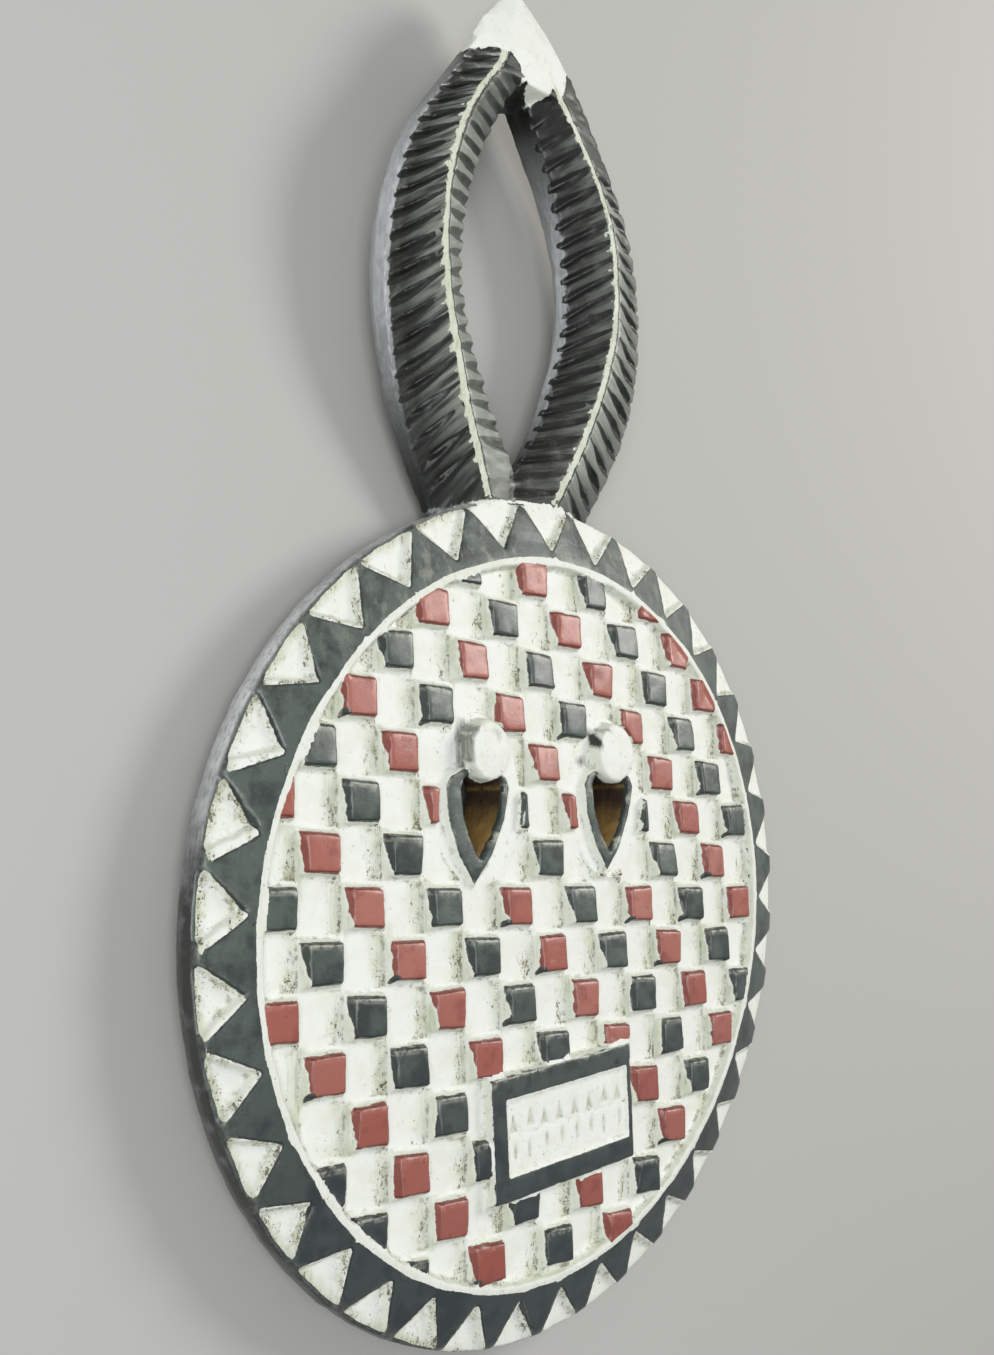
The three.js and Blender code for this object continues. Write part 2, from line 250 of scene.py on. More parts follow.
# Checker of raised squares
checker = {
    "origin": (-2.6, 1.8),
    "lean": 0.0382,
    "tilt": 0.025,
    "halfTop": 6.9,
    "wobble": 0.5,
    "reach": 158.0,
    "clipRadius": 149.8,
    # colour over each edge of a square: its reach, how much that wanders, how much squares differ, its slant
    "lap": {
        "bottom": (0.7, 0.15, 0.15, 0.0),
        "right": (0.8, 0.1, 0.15, 0.0),
        "top": (0.9, 0.12, 0.15, 0.0),
        "left": (1.15, 0.12, 0.4, 0.08),
    },
    # drip at some lower left corners: its ends in the cell, its half width, and the least hand value for one
    "dripFrom": (-7.0, -6.6),
    "dripTo": (-8.6, -8.2),
    "dripHalf": 1.3,
    "dripAbove": 0.55,
}


def checkerPlan(x, y):
    # depth inside each side of the nearest raised square, if it is red, the place in the cell, and its number
    cell, lean, tilt = disc["cell"], checker["lean"], checker["tilt"]
    across, up = x - checker["origin"][0], y - checker["origin"][1]
    scale = 1 / (cell * (1 - lean * tilt))
    i, j = (across + lean * up) * scale, (up + tilt * across) * scale
    column, row = np.round(i), np.round(j)
    p, q = (i - column) * cell, (j - row) * cell
    centreX = checker["origin"][0] + cell * column - lean * cell * row
    centreY = checker["origin"][1] + cell * row - tilt * cell * column
    c, r = column + 7, 7 - row
    half, wobble = checker["halfTop"], checker["wobble"]
    corners = []
    for k, (sx, sy) in enumerate([(-1, -1), (1, -1), (1, 1), (-1, 1)]):
        corners.append((
            centreX + half * sx - lean * half * sy + wobble * handWobble(r * 4 + k, c),
            centreY + half * sy - tilt * half * sx + wobble * handWobble(r, c * 4 + k),
        ))
    raised = ((r + c) % 2 == 1) & (np.hypot(centreX, centreY) <= checker["reach"])
    inside = {}
    for name, (ax, ay), (bx, by) in zip(checker["lap"], corners, corners[1:] + corners[:1]):
        ex, ey = bx - ax, by - ay
        inside[name] = np.where(raised, (ex * (y - ay) - ey * (x - ax)) / np.hypot(ex, ey), outside)
    red = ((c - r + 7) / 2) % 2 == 1
    return inside, red, p, q, r * 15 + c


# Eyes: knobs over drop-shaped holes with a raised border
eyes = [
    {"x": -43.0, "y": 65.5, "knob": {"x": -41.9, "y": 65.8, "radius": 12.6, "wide": 0.9},
     "border": {"shift": -2.0, "half": 17.6, "drop": 39.5, "slant": 3.0}},
    {"x": 37.3, "y": 68.0, "knob": {"x": 39.2, "y": 67.8, "radius": 13.0, "wide": 0.95},
     "border": {"shift": -0.6, "half": 16.4, "drop": 37.5, "slant": 2.6}},
]
# The same for both eyes
eyeShape = {
    "borderRise": 2.8,
    "borderTop": (-14.5, 8.0),  # height of the widest place, and the rise above it
    # shift, half width, height of the widest place, rise above it, drop below it, slant
    "hole": (0.3, 12.8, -15.0, 8.5, 30.5, 1.6),
    # plain oval without squares round the eye
    "plainHalf": (24.5, 35.5),
    "plainMiddle": -19.5,
}

# Scrapes and thumb marks on the knobs: place, half width and height, strength
knobMarks = [
    (-53.4, 67.0, 1.9, 10.5, 0.75), (-50.6, 75.4, 2.4, 3.6, 0.7), (-38.6, 73.0, 3.0, 1.7, 0.42),
    (27.6, 73.4, 1.7, 4.2, 1.0), (32.0, 78.0, 3.2, 0.8, 0.6), (21.8, 63.1, 1.9, 1.3, 0.9),
]


def dropOutline(eye, offset, half, widest, rise, drop, slant):
    arc = [(half * math.cos(k * math.pi / 6), widest + rise * math.sin(k * math.pi / 6)) for k in range(7)]
    sides = [(-0.86, 0.34), (-0.5, 0.7), (0, 1), (0.5, 0.7), (0.86, 0.34)]
    points = arc + [(a * half, widest - b * drop) for a, b in sides]
    return [(eye["x"] + offset + x + slant * (y - widest) / drop, eye["y"] + y) for x, y in points]


def surroundOutline(eye):
    halfX, halfY = eyeShape["plainHalf"]
    turns = [k * math.pi / 14 for k in range(28)]
    middleY = eye["y"] + eyeShape["plainMiddle"]
    return [(eye["x"] + halfX * math.cos(t), middleY + halfY * math.sin(t)) for t in turns]


# Mouth: a raised frame with a slightly sunk panel of teeth
mouth = {
    "x": 4.0, "y": -87.6, "turn": math.radians(4.3),
    "frameHalf": (43.0, 24.6), "panelHalf": (37.8, 15.6), "panelShift": 2.4, "plainHalf": (46.0, 27.5),
    # dents of the teeth: pointed ones above, lenses below, and a seam between the rows
    "toothPitch": 9.3, "pointFoot": 1.6, "pointHeight": 9.0, "pointHalf": 3.0,
    "lensMiddle": -6.0, "lensHalf": (1.6, 5.2), "seamAt": 0.2, "seamHalf": (37.0, 15.0),
}


def mouthPlan(x, y):
    # place of each point in the mouth's own turned axes
    c, s = math.cos(mouth["turn"]), math.sin(mouth["turn"])
    dx, dy = x - mouth["x"], y - mouth["y"]
    return dx * c + dy * s, dy * c - dx * s


def boxDepth(u, v, halfU, halfV):
    return np.minimum(halfU - np.abs(u), halfV - np.abs(v))


def mouthTeeth(u, v):
    # share of each point's depth in the pointed dents above, and in the fainter lenses below
    column = (u - mouth["panelShift"]) / mouth["toothPitch"] + 0.5
    nth = np.round(column)
    across = (column - nth) * mouth["toothPitch"]
    wander = handWobble(nth, 5.0)
    climb = (v - mouth["pointFoot"] - 0.8 * wander) / mouth["pointHeight"]
    upper = 1.6 * np.minimum(1 - climb - np.abs(across - 0.6 * wander) / mouth["pointHalf"], 5 * climb)
    lensX, lensY = mouth["lensHalf"]
    lower = 1 - ((across + 0.9 * wander) / lensX) ** 2 - ((v - mouth["lensMiddle"] + wander) / lensY) ** 2
    onPanel = boxDepth(u - mouth["panelShift"], v, mouth["panelHalf"][0] - 1.5, mouth["panelHalf"][1] - 1) > 0
    return np.where(onPanel, np.clip(upper, 0, 1), 0), np.where(onPanel, np.clip(lower, 0, 1), 0)


# White triangles sunk round the rim
rimTeeth = {
    "count": 36,
    "firstAt": 142,
    "tip": disc["fieldRadius"] + 4,
    "reach": discRadius + 9,
    "tipLap": 1.9,
    "share": 1.04,
    "rounding": 1.1,
    # spacing by hand, in degrees: a shift, and two waves round the rim with their starts
    "tipDrift": (0.3, 4.6, 2.7, 2.2, -0.26),
    "footDrift": (0.5, 4.5, 2.52, 2.0, -0.2),
    # the white runs over the lower edges of the teeth at the upper left, by this many degrees
    "over": 1.5,
    "overAt": 160,
}


def spacingDrift(angle, drift):
    shift, once, onceStart, twice, twiceStart = drift
    return shift + once * math.cos(angle + onceStart) + twice * math.cos(2 * angle + twiceStart)


def roundedTriangle(corners, rounding):
    # the triangle drawn in toward its middle, so that a rounded offset of it touches the three sides
    points = [Vector(corner) for corner in corners]
    sides = [(points[k - 1] - points[k - 2]).length for k in range(3)]
    middle = sum((point * side for point, side in zip(points, sides)), Vector((0, 0))) / sum(sides)
    first, second = points[1] - points[0], points[2] - points[0]
    inner = abs(first.x * second.y - first.y * second.x) / sum(sides)
    return [tuple(middle + (point - middle) * (1 - rounding / inner)) for point in points]


def toothDepth(x, y):
    # depth inside the nearest triangle's upper outline, negative outside
    depth = np.full(len(x), outside)
    tip, reach = rimTeeth["tip"], rimTeeth["reach"]
    flare = (reach - tip) / (discRadius - tip)
    for k in range(rimTeeth["count"]):
        even = math.radians(rimTeeth["firstAt"] + k * 360 / rimTeeth["count"])
        tipTurn = spacingDrift(even, rimTeeth["tipDrift"])
        footTurn = spacingDrift(even, rimTeeth["footDrift"])
        half = 4 + 0.5 * math.cos(even - 2.6) + max(0, math.cos(even - 2.35)) ** 4
        over = rimTeeth["over"] * max(0, math.cos(even - math.radians(rimTeeth["overAt"]))) ** 16
        tipRadius = tip + rimTeeth["tipLap"] + 0.8 * handWobble(k, 3.3)
        outline = []
        for radius, side in ((tipRadius, 0), (reach, -1), (reach, 1)):
            turn = tipTurn + (footTurn - tipTurn) * flare * abs(side)
            turn += side * rimTeeth["share"] * half * flare
            turn += over * (0.6, 1.0, 0.3)[side] + 0.25 * handWobble(k, side + 7.0)
            outline.append(ovalPoint(radius, even + math.radians(turn)))
        outline = roundedTriangle(outline, rimTeeth["rounding"])
        near = np.hypot(x - outline[0][0], y - outline[0][1]) < 45
        inset = outlineDepth(x[near], y[near], outline) + rimTeeth["rounding"]
        depth[near] = np.maximum(depth[near], inset)
    return depth


def softMinimum(first, second, blend):
    # the smaller of two depths, with the corner between them rounded
    low = np.minimum(first, second)
    return low - blend * np.log(np.exp((low - first) / blend) + np.exp((low - second) / blend))


# Horns: lines up one horn, as distance from the mask's axis and height against the middle of the face
hornStations = [
    # y, outer corner, ridge, inner edge, height of the back
    (148, (38, -27), (8, -20), (-24, -24), -33.5),
    (170, (51.5, -23), (17, -13), (-12, -19), -33),
    (190, (63.5, -20.5), (26.8, -8), (0, -14), -32.5),
    (210, (74, -16.8), (36.6, -4.5), (12.5, -11.5), -32),
    (230, (80, -13), (44.3, -1), (22, -11), -31),
    (250, (83.5, -10.5), (50.7, 1.5), (30, -10), -30),
    (270, (84, -8), (54, 3.5), (34, -9), -29),
    (290, (82, -6), (54, 4.5), (33, -8), -27.5),
    (310, (76.5, -4), (51, 5.5), (29, -6.5), -26),
    (330, (67, -2.5), (43.8, 5.5), (22, -5), -24.5),
    (350, (52.2, -0.6), (31.8, 4.5), (11, -4), -23),
    (370, (37.4, 0.4), (16.5, 4), (-1, -3.5), -21),
    (390, (22.2, -0.2), (8, 2.5), (-12, -4), -19),
    (408, (5, -3.5), (1, -1), (-5, -5), -13),
]
horns = {
    "axisX": -2.6,
    "lean": 0.0382,
    # shares of a horn's width and depth taken off its outer edge
    "leftCut": 0.09,
    "rightCut": 0.03,
    "edgeLift": 0.055,
    "bandLap": 2.4,
    "grooveAt": 2.9,
    "grooveFrom": 185,
}

# Rows of slashes on the front faces of the horns, by side and whether the face is the outer one: the first
# slash, their spacing and end, their rise at the horn's foot, middle and top, how white the wood between them
# is by the edge and by the ridge, and the reach and half width of the white flecks
slashRows = {
    (-1, True): {"first": 172, "pitch": 9.0, "top": 366, "rise": (24, 19, 9),
                 "pale": (0.10, 0.62), "fleck": (2.8, 1.7)},
    (-1, False): {"first": 201, "pitch": 7.8, "top": 366, "rise": (1, -9, 3),
                  "pale": (0.72, 0.92), "fleck": (1.0, 0.8)},
    (1, False): {"first": 181, "pitch": 8.1, "top": 366, "rise": (3, 14, 10),
                 "pale": (0.05, 0.34), "fleck": (2.6, 1.0)},
    (1, True): {"first": 174, "pitch": 9.0, "top": 340, "rise": (16, 8, -4),
                "pale": (0.45, 0.90), "fleck": (1.8, 0.7)},
}
slashSpan = (170.0, 366.0)

# Outline of the white cap where the horns meet
tipCap = [
    (-64, 359), (-53, 366.9), (-46, 369.6), (-38.6, 373.2), (-30.5, 374.8), (-26.5, 374.5), (-22.6, 371),
    (-21.8, 366), (-20.7, 362.2), (-18.5, 366.1), (-17.7, 363.7), (-15.8, 362.3), (-14.3, 361.3),
    (-11.1, 361.1), (-9.1, 358.1), (-6.7, 361.5), (-4.2, 363.2), (-3.4, 364.5), (-0.6, 369.4),
    (1.5, 369.7), (2.8, 367), (5, 366), (9, 374), (10, 379), (14, 382), (30, 383), (30, 430), (-80, 430),
]


def hornLine(part):
    # a smooth line through one corner of all stations, as arrays of y, out and height
    if part == 4:
        knots = np.array([(s[0], 0, s[4]) for s in hornStations], float)
    else:
        knots = np.array([(s[0], s[part][0], s[part][1]) for s in hornStations], float)
    padded = np.vstack([2 * knots[0] - knots[1], knots, 2 * knots[-1] - knots[-2]])
    points = []
    for k in range(1, len(knots)):
        a, b, c, d = padded[k - 1], padded[k], padded[k + 1], padded[k + 2]
        for t in np.linspace(0, 1, 8, endpoint=False):
            points.append(0.5 * (2 * b + (c - a) * t + (2 * a - 5 * b + 4 * c - d) * t ** 2
                                 + (3 * b - a - 3 * c + d) * t ** 3))
    points.append(knots[-1])
    return np.array(points).T


def hornPlan(x, y, z):
    # where points lie on a horn: the face, the share from its edge to the ridge, and the nearest slash
    fromAxis = x - horns["axisX"] + horns["lean"] * y
    left = fromAxis < 0
    out = np.abs(fromAxis)
    at = {}
    for name, part in (("corner", 1), ("ridge", 2), ("inner", 3), ("back", 4)):
        ys, outs, heights = hornLine(part)
        at[name] = (np.interp(y, ys, outs), np.interp(y, ys, heights) + disc["thickness"])
    ridgeX, ridgeZ = at["ridge"]
    innerX, innerZ = at["inner"]
    width, depth = at["corner"][0] - innerX, ridgeZ - at["back"][1]
    cornerX = at["corner"][0] - np.where(left, horns["leftCut"], horns["rightCut"]) * width
    cornerZ = at["corner"][1] + horns["edgeLift"] * depth
    outer = out > ridgeX
    reach = np.where(outer, cornerX - ridgeX, ridgeX - innerX)
    share = np.clip(1 - np.abs(out - ridgeX) / np.maximum(reach, 1), -0.3, 1)
    edgeZ = np.where(outer, cornerZ, innerZ)
    lap = np.where(left & outer, horns["bandLap"], 0)
    band = np.maximum(np.where(outer, out - cornerX + lap, innerX - out), edgeZ - 1.5 - z)
    plan = {
        "left": left, "outer": outer, "share": share, "band": band, "fromAxis": fromAxis,
        "ridgeSide": fromAxis - np.where(left, -1, 1) * ridgeX, "ridgeGap": np.abs(out - ridgeX),
    }
    for name in ("phase", "nth", "gap", "pitch", "pale", "fleckReach", "fleckHalf", "row"):
        plan[name] = np.zeros(len(x))
    for number, ((side, onOuter), row) in enumerate(slashRows.items()):
        here = (left == (side < 0)) & (outer == onOuter)
        foot = y[here] - 15 * share[here]
        for _ in range(3):
            place = np.clip(2 * (foot - slashSpan[0]) / (slashSpan[1] - slashSpan[0]), 0, 2)
            climb = np.interp(place, (0, 1, 2), row["rise"])
            foot = y[here] - climb * np.clip(share[here], 0, 1)
        phase = (foot - row["first"]) / row["pitch"]
        nth = np.round(phase)
        gap = np.abs(phase - nth) * row["pitch"]
        beyond = (foot < row["first"] - row["pitch"] / 2) | (foot > row["top"])
        plan["phase"][here] = phase
        plan["nth"][here] = nth + 100 * number
        plan["gap"][here] = np.where(beyond, 9.0, gap)
        plan["pitch"][here] = row["pitch"]
        plan["pale"][here] = np.interp(share[here], (0.3, 0.95), row["pale"])
        plan["fleckReach"][here], plan["fleckHalf"][here] = row["fleck"]
        plan["row"][here] = number
    return plan


# The carved skin: the solid's own form with rounded edges and the small relief of the hand tools

skin = {
    "voxel": 0.0008,  # metres
    "smoothing": 2,
    "triangles": 196000,
    # height of the hand's unevenness and size of its bumps
    "undulation": (0.22, 13.0),
    "chisel": (0.15, 4.2),
    "raggedWall": (0.5, 3.0),
    "hornStroke": (0.4, 2.0),
    # depths
    "floorScoop": 0.9,
    "squareTip": 0.4,
    "toothDent": 1.1,
    "mouthSeam": 0.35,
    "ridgeGroove": 0.5,
}


def bakeModifiers(piece):
    graph = bpy.context.evaluated_depsgraph_get()
    data = bpy.data.meshes.new_from_object(piece.evaluated_get(graph))
    piece.modifiers.clear()
    piece.data = data


def readPoints(data):
    points = np.zeros(len(data.vertices) * 3, np.float32)
    data.vertices.foreach_get("co", points)
    return points.reshape(-1, 3).astype(float)


def movePoints(data, points):
    data.vertices.foreach_set("co", points.astype(np.float32).ravel())
    data.update()


def readNormals(data):
    normals = np.zeros(len(data.vertices) * 3, np.float32)
    data.vertex_normals.foreach_get("vector", normals)
    return normals.reshape(-1, 3).astype(float)


def addLayer(data, name, values):
    layer = data.attributes.new(name, "FLOAT", "POINT")
    layer.data.foreach_set("value", values.astype(np.float32))


def relax(data, points, turns):
    # positions averaged over their neighbours
    edges = np.zeros(len(data.edges) * 2, np.int32)
    data.edges.foreach_get("vertices", edges)
    a, b = edges.reshape(-1, 2).T
    count = np.bincount(a, minlength=len(points)) + np.bincount(b, minlength=len(points))
    for _ in range(turns):
        mean = np.empty_like(points)
        for axis in range(3):
            column = points[:, axis]
            total = np.bincount(a, column[b], len(points)) + np.bincount(b, column[a], len(points))
            mean[:, axis] = total / count
        points = 0.5 * points + 0.5 * mean
    return points


def toMillimetres(points):
    place = points * 1000
    return place[:, 0] - disc["middleX"], place[:, 1] - disc["middleY"], place[:, 2]


def unevenness(name, place, seed, share=1.0):
    height, size = skin[name]
    return share * height * latticeNoise(place, size, seed)


def carveRelief(data):
    points = readPoints(data)
    normals = readNormals(data)
    x, y, z = toMillimetres(points)
    place = np.stack([x, y, z], 1)
    radius = trueRadius(x, y)
    above = ease(2.0, 5.0, z)
    steep = ease(0.75, 0.4, np.abs(normals[:, 2]))
    push = unevenness("undulation", place, 1, above)
    push += unevenness("chisel", place, 2, above)
    face = ease(20, 24, z)
    # ragged walls in the checker, the eyes and the rim
    onDisc = radius < discRadius - 1
    push += np.where(onDisc, unevenness("raggedWall", place, 3, face * steep), 0)
    moved = points + normals * push[:, None] / 1000
    # each raised square tips a little its own way, and each floor is scooped toward the next square
    inside, _, p, q, number = checkerPlan(x, y)
    depth = np.minimum.reduce(list(inside.values()))
    field = (radius < disc["fieldRadius"] - 1) & (normals[:, 2] > 0.3) & (z > 20)
    for eye in eyes:
        field &= outlineDepth(x, y, surroundOutline(eye)) < 0
    u, v = mouthPlan(x, y)
    field &= boxDepth(u, v, *mouth["plainHalf"]) < 0
    raised = ease(-1.2, 0.2, depth)
    tip = (handWobble(number, 3.7) * p + handWobble(number, 9.1) * q) / 7
    scoop = ease(-2, 7, p) * 0.6 + 0.4 * ease(8, 0, np.hypot(p, q))
    lift = raised * skin["squareTip"] * tip - (1 - raised) * skin["floorScoop"] * scoop * (depth < -8)
    moved[:, 2] += np.where(field, lift, 0) / 1000
    # teeth in the mouth, with a faint seam between the rows
    upper, lower = mouthTeeth(u, v)
    seam = skin["mouthSeam"] * np.exp(-((v - mouth["seamAt"]) / 0.8) ** 2)
    seam *= boxDepth(u - mouth["panelShift"], v, *mouth["seamHalf"]) > 0
    dent = skin["toothDent"] * (upper ** 0.7 + 0.6 * lower ** 0.7) + seam
    moved[:, 2] -= np.where(normals[:, 2] > 0.5, dent, 0) / 1000
    # horns: strokes along the slashes, and a narrow groove on the right of each ridge
    horn = hornPlan(x, y, z)
    onHorn = (y > 150) & (radius > discRadius + 1) & (horn["band"] < 0.5) & (outlineDepth(x, y, tipCap) < 0)
    stroke = np.stack([horn["phase"] * horn["pitch"], horn["share"] * 5, horn["row"] * 40], 1)
    cut = unevenness("hornStroke", stroke, 4) * ease(1.0, 0.85, horn["share"])
    groove = np.exp(-((horn["ridgeSide"] - horns["grooveAt"]) / 0.7) ** 2) * (y > horns["grooveFrom"])
    push = np.where(onHorn, cut - skin["ridgeGroove"] * groove, 0)
    moved += push[:, None] * normals / 1000
    # nothing goes under the ground or past the solid's own box
    moved[:, 2] = np.clip(moved[:, 2], 0, None)
    moved = np.clip(moved, cadBox[0], cadBox[1])
    movePoints(data, moved)


def buildSkin():
    shape = bmesh.new()
    shape.from_mesh(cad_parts["mask"].data)
    bmesh.ops.remove_doubles(shape, verts=shape.verts, dist=1e-6)
    data = bpy.data.meshes.new("carvedMask")
    shape.to_mesh(data)
    shape.free()
    piece = bpy.data.objects.new("carvedMask", data)
    bpy.context.scene.collection.objects.link(piece)
    remesh = piece.modifiers.new("evenSkin", "REMESH")
    remesh.mode = "VOXEL"
    remesh.voxel_size = skin["voxel"]
    bakeModifiers(piece)
    print("even skin:", len(piece.data.vertices), "points")
    points = relax(piece.data, readPoints(piece.data), skin["smoothing"])
    points[:, 2] = np.clip(points[:, 2], 0, None)
    movePoints(piece.data, points)
    carveRelief(piece.data)
    # how far each point stands out of, or lies in, its surroundings, in millimetres
    points = readPoints(piece.data)
    away = points - relax(piece.data, points, 5)
    addLayer(piece.data, "crest", (away * readNormals(piece.data)).sum(1) * 1000)
    print("relief carved")
    thin = piece.modifiers.new("fewerFaces", "DECIMATE")
    thin.ratio = skin["triangles"] / (2 * len(piece.data.polygons))
    thin.use_collapse_triangulate = True
    bakeModifiers(piece)
    piece.data.name = "carvedMask"
    print("skin:", len(piece.data.polygons), "triangles")
    return piece


# Paint plan: how deep each point lies inside the painted areas, in millimetres, and how each area is toned

def squaresPlan(x, y):
    # colour that laps over the edges of each square, and the short drip at some lower left corners
    inside, red, p, q, number = checkerPlan(x, y)
    depth = np.full(len(x), 9.0)
    for k, (name, (lap, wander, spread, slant)) in enumerate(checker["lap"].items()):
        along = q if name in ("left", "right") else p
        reach = lap + spread * handWobble(number, 3.1 + 1.7 * k)
        reach += (slant + (0.03 + slant) * handWobble(number, 5.3 + k)) * along
        depth = np.minimum(depth, inside[name] + reach + wander * lineNoise(along, number, 4.5, 20 + k))
    (startX, startY), (endX, endY) = checker["dripFrom"], checker["dripTo"]
    lengthX, lengthY = endX - startX, endY - startY
    along = np.clip(((p - startX) * lengthX + (q - startY) * lengthY) / (lengthX ** 2 + lengthY ** 2), 0, 1)
    fromDrip = np.hypot(p - startX - along * lengthX, q - startY - along * lengthY)
    drip = checker["dripHalf"] * (1 - 0.4 * along) - fromDrip
    dripping = (handWobble(number, 2.3) > checker["dripAbove"]) & (inside["left"] > -8)
    edges = inside["top"], inside["bottom"], inside["left"] > -8.9
    return depth, red, p, q, number, np.where(dripping, drip, outside), edges


def eyePlan(x, y, z, place):
    # distance outside the plain ovals, depth inside the borders, holes and knobs, and how lit each hole is
    # painted
    clear = np.full(len(x), 99.0)
    borderDepth, holeDepth, knobDepth = (np.full(len(x), outside) for _ in range(3))
    holeLighting = np.full(len(x), 0.6)
    for eye in eyes:
        border, knob = eye["border"], eye["knob"]
        clear = np.minimum(clear, -outlineDepth(x, y, surroundOutline(eye)))
        outline = dropOutline(eye, border["shift"], border["half"] + 0.2, *eyeShape["borderTop"],
                              border["drop"], border["slant"])
        borderDepth = np.maximum(borderDepth, outlineDepth(x, y, outline))
        thisHole = outlineDepth(x, y, dropOutline(eye, *eyeShape["hole"]))
        holeDepth = np.maximum(holeDepth, thisHole)
        fromKnob = np.hypot((x - knob["x"]) / knob["wide"], y - knob["y"])
        knobDepth = np.maximum(knobDepth, knob["radius"] + 1.1 - fromKnob)
        # a hole is painted dark under the knob as its shadow and lighter lower down as painted light, less so
        # to the right, with a painted highlight on a ledge
        lower = ease(-19, -27, y - eye["y"] + 2.5 * latticeNoise(place, 5.0, 15))
        ledge = 0.55 * np.exp(-((y - eye["y"] + 14.5) / 0.9) ** 2)
        lit = lower * (1 - 0.6 * ease(4, 10, x - eye["x"])) + ledge
        holeLighting = np.where((thisHole > -2) & (z > 1), lit, holeLighting)
    return clear, borderDepth, holeDepth, knobDepth, holeLighting


# Paint on the horns: white along the ridges, slashes and dark places
hornPaint = {
    "ridgeHalf": 1.2,
    "fleckAbove": -0.55,  # no fleck where the hand value is lower
    # width of a slash from its edge to the ridge, as shares of its full width, on the outer and inner faces
    "outerWidth": ((0, 0.12, 0.35, 0.6, 0.78, 1), (0, 0.7, 1, 0.75, 0.4, 0.3)),
    "innerWidth": ((0, 0.4, 0.75, 1), (1, 0.95, 0.6, 0.25)),
    # half width of a slash as a share of the spacing, and what the crisper rows add
    "slashHalf": 0.24,
    "crispHalf": 0.03,
    "capShadow": 0.5,
    "darkFoot": 0.7,
}


def hornLayers(horn, onHorn, tip, y, place):
    # white flecks along the ridges
    ridgeHalf = hornPaint["ridgeHalf"] + 0.7 * ease(285, 230, y) + 0.5 * latticeNoise(place, 4.0, 7)
    ridgeHalf += 0.3 * ease(340, 374, y)
    ridgeHalf += 0.6 * ease(300, 350, y) * ~horn["left"]
    fleckReach = ridgeHalf + horn["fleckReach"] * (0.55 + 0.45 * handWobble(horn["nth"], 8.2))
    fleckHalf = horn["fleckHalf"] * (0.8 + 0.35 * handWobble(horn["nth"], 6.1))
    landGap = np.abs(np.abs(horn["phase"] - np.round(horn["phase"])) - 0.5) * horn["pitch"]
    fleck = np.minimum(fleckReach - horn["ridgeGap"], fleckHalf - landGap)
    flecked = (handWobble(horn["nth"], 4.4) > hornPaint["fleckAbove"]) & (horn["gap"] < 8)
    mark = np.maximum(ridgeHalf - horn["ridgeGap"], np.where(flecked, fleck, outside))
    mark = np.where(onHorn & (horn["band"] <= -0.6), mark, outside)
    mark = np.maximum(mark, np.where(onHorn, tip, outside))
    # slashes, crisper on two of the faces: black paint in the notches, darkened further as their painted
    # shade
    crisp = ((horn["row"] == 1) | (horn["row"] == 3)) * 1.0
    full = hornPaint["slashHalf"] + hornPaint["crispHalf"] * crisp
    full = full * horn["pitch"] * (1 + 0.25 * handWobble(horn["nth"], 1.7))
    widths = [np.interp(horn["share"], *hornPaint[name]) for name in ("outerWidth", "innerWidth")]
    slash = full * np.where(horn["outer"], *widths) - 0.85 * horn["gap"]
    slash -= 0.9 * ease(-1.0, 1.4, horn["band"] - np.where(horn["left"] & horn["outer"], 1.4, 0))
    slash = np.where(onHorn & (horn["gap"] < 8) & (horn["band"] < 2.4) & (tip < 0), slash, outside)
    # a painted shadow line where the white cap ends on the left horn
    capShadow = hornPaint["capShadow"] - np.abs(tip + 0.6)
    slash = np.maximum(slash, np.where(onHorn & horn["left"] & (y > 350), capShadow, outside))
    # the sides carry a painted highlight at half height, the notch under the joined tip is painted black as
    # its shadow, and the left foot is painted darker
    outerHighlight = ease(165, 275, y) * ease(385, 295, y)
    innerHighlight = ease(190, 245, y) * ease(355, 290, y)
    tipShadowAndDarkFoot = ease(-6, -1, horn["fromAxis"]) * ease(23, 15, horn["fromAxis"]) * ease(344, 354, y) * (tip < 0)
    darkFoot = hornPaint["darkFoot"] * ease(225, 172, y) * horn["outer"] * horn["left"]
    return {
        "hornDepth": np.where(onHorn, 9.0, outside), "mark": mark, "slash": slash, "crisp": crisp,
        "band": np.where(onHorn, horn["band"], outside),
        "bandHighlight": np.where(horn["outer"], outerHighlight, innerHighlight),
        "tipShadowAndDarkFoot": np.where(onHorn, np.maximum(tipShadowAndDarkFoot, darkFoot), 0),
        "pale": horn["pale"] * (0.35 + 0.65 * ease(168, 205, y)) * (1 - 0.7 * ease(322, 342, y) * crisp),
        "soft": (horn["row"] == 1) * (1 - 0.75 * ease(275, 325, y)),
        "ridgeSide": np.where(onHorn, horn["ridgeSide"], 9.0),
    }


# Paint round the rim: where the white ends, runs over and gives way to the worn edge
rimPaint = {
    "whiteEnd": 172.3,  # radius at the left
    "runOver": 6.0,  # further out at the right
    "whiteLine": 3.0,  # between the checker and the ring
    "cornerBlend": 0.6,
    # bearings in degrees between which the rubbed edge's painted highlight brightens, dims a little and ends
    "brighten": (182, 155),
    "dim": (122, 146),
    "end": (80, 112),
}


def rimWearAndHighlight(angle):
    # the rim's side is rubbed and painted bright at the upper left, wear with a painted highlight, and is
    # nearly black from the middle of the left side down
    bearing = np.degrees(angle) % 360
    shine = ease(*rimPaint["brighten"], bearing) * ease(*rimPaint["end"], bearing)
    return shine * (0.7 + 0.3 * ease(*rimPaint["dim"], bearing))


def knobSmudges(x, y, z, place):
    smudge = np.zeros(len(x))
    for markX, markY, halfX, halfY, strength in knobMarks:
        off = np.hypot((x - markX) / halfX, (y - markY) / halfY) + 0.25 * latticeNoise(place, 1.8, 16)
        smudge = np.maximum(smudge, strength * ease(1.1, 0.75, off) * (z > 25))
    return smudge


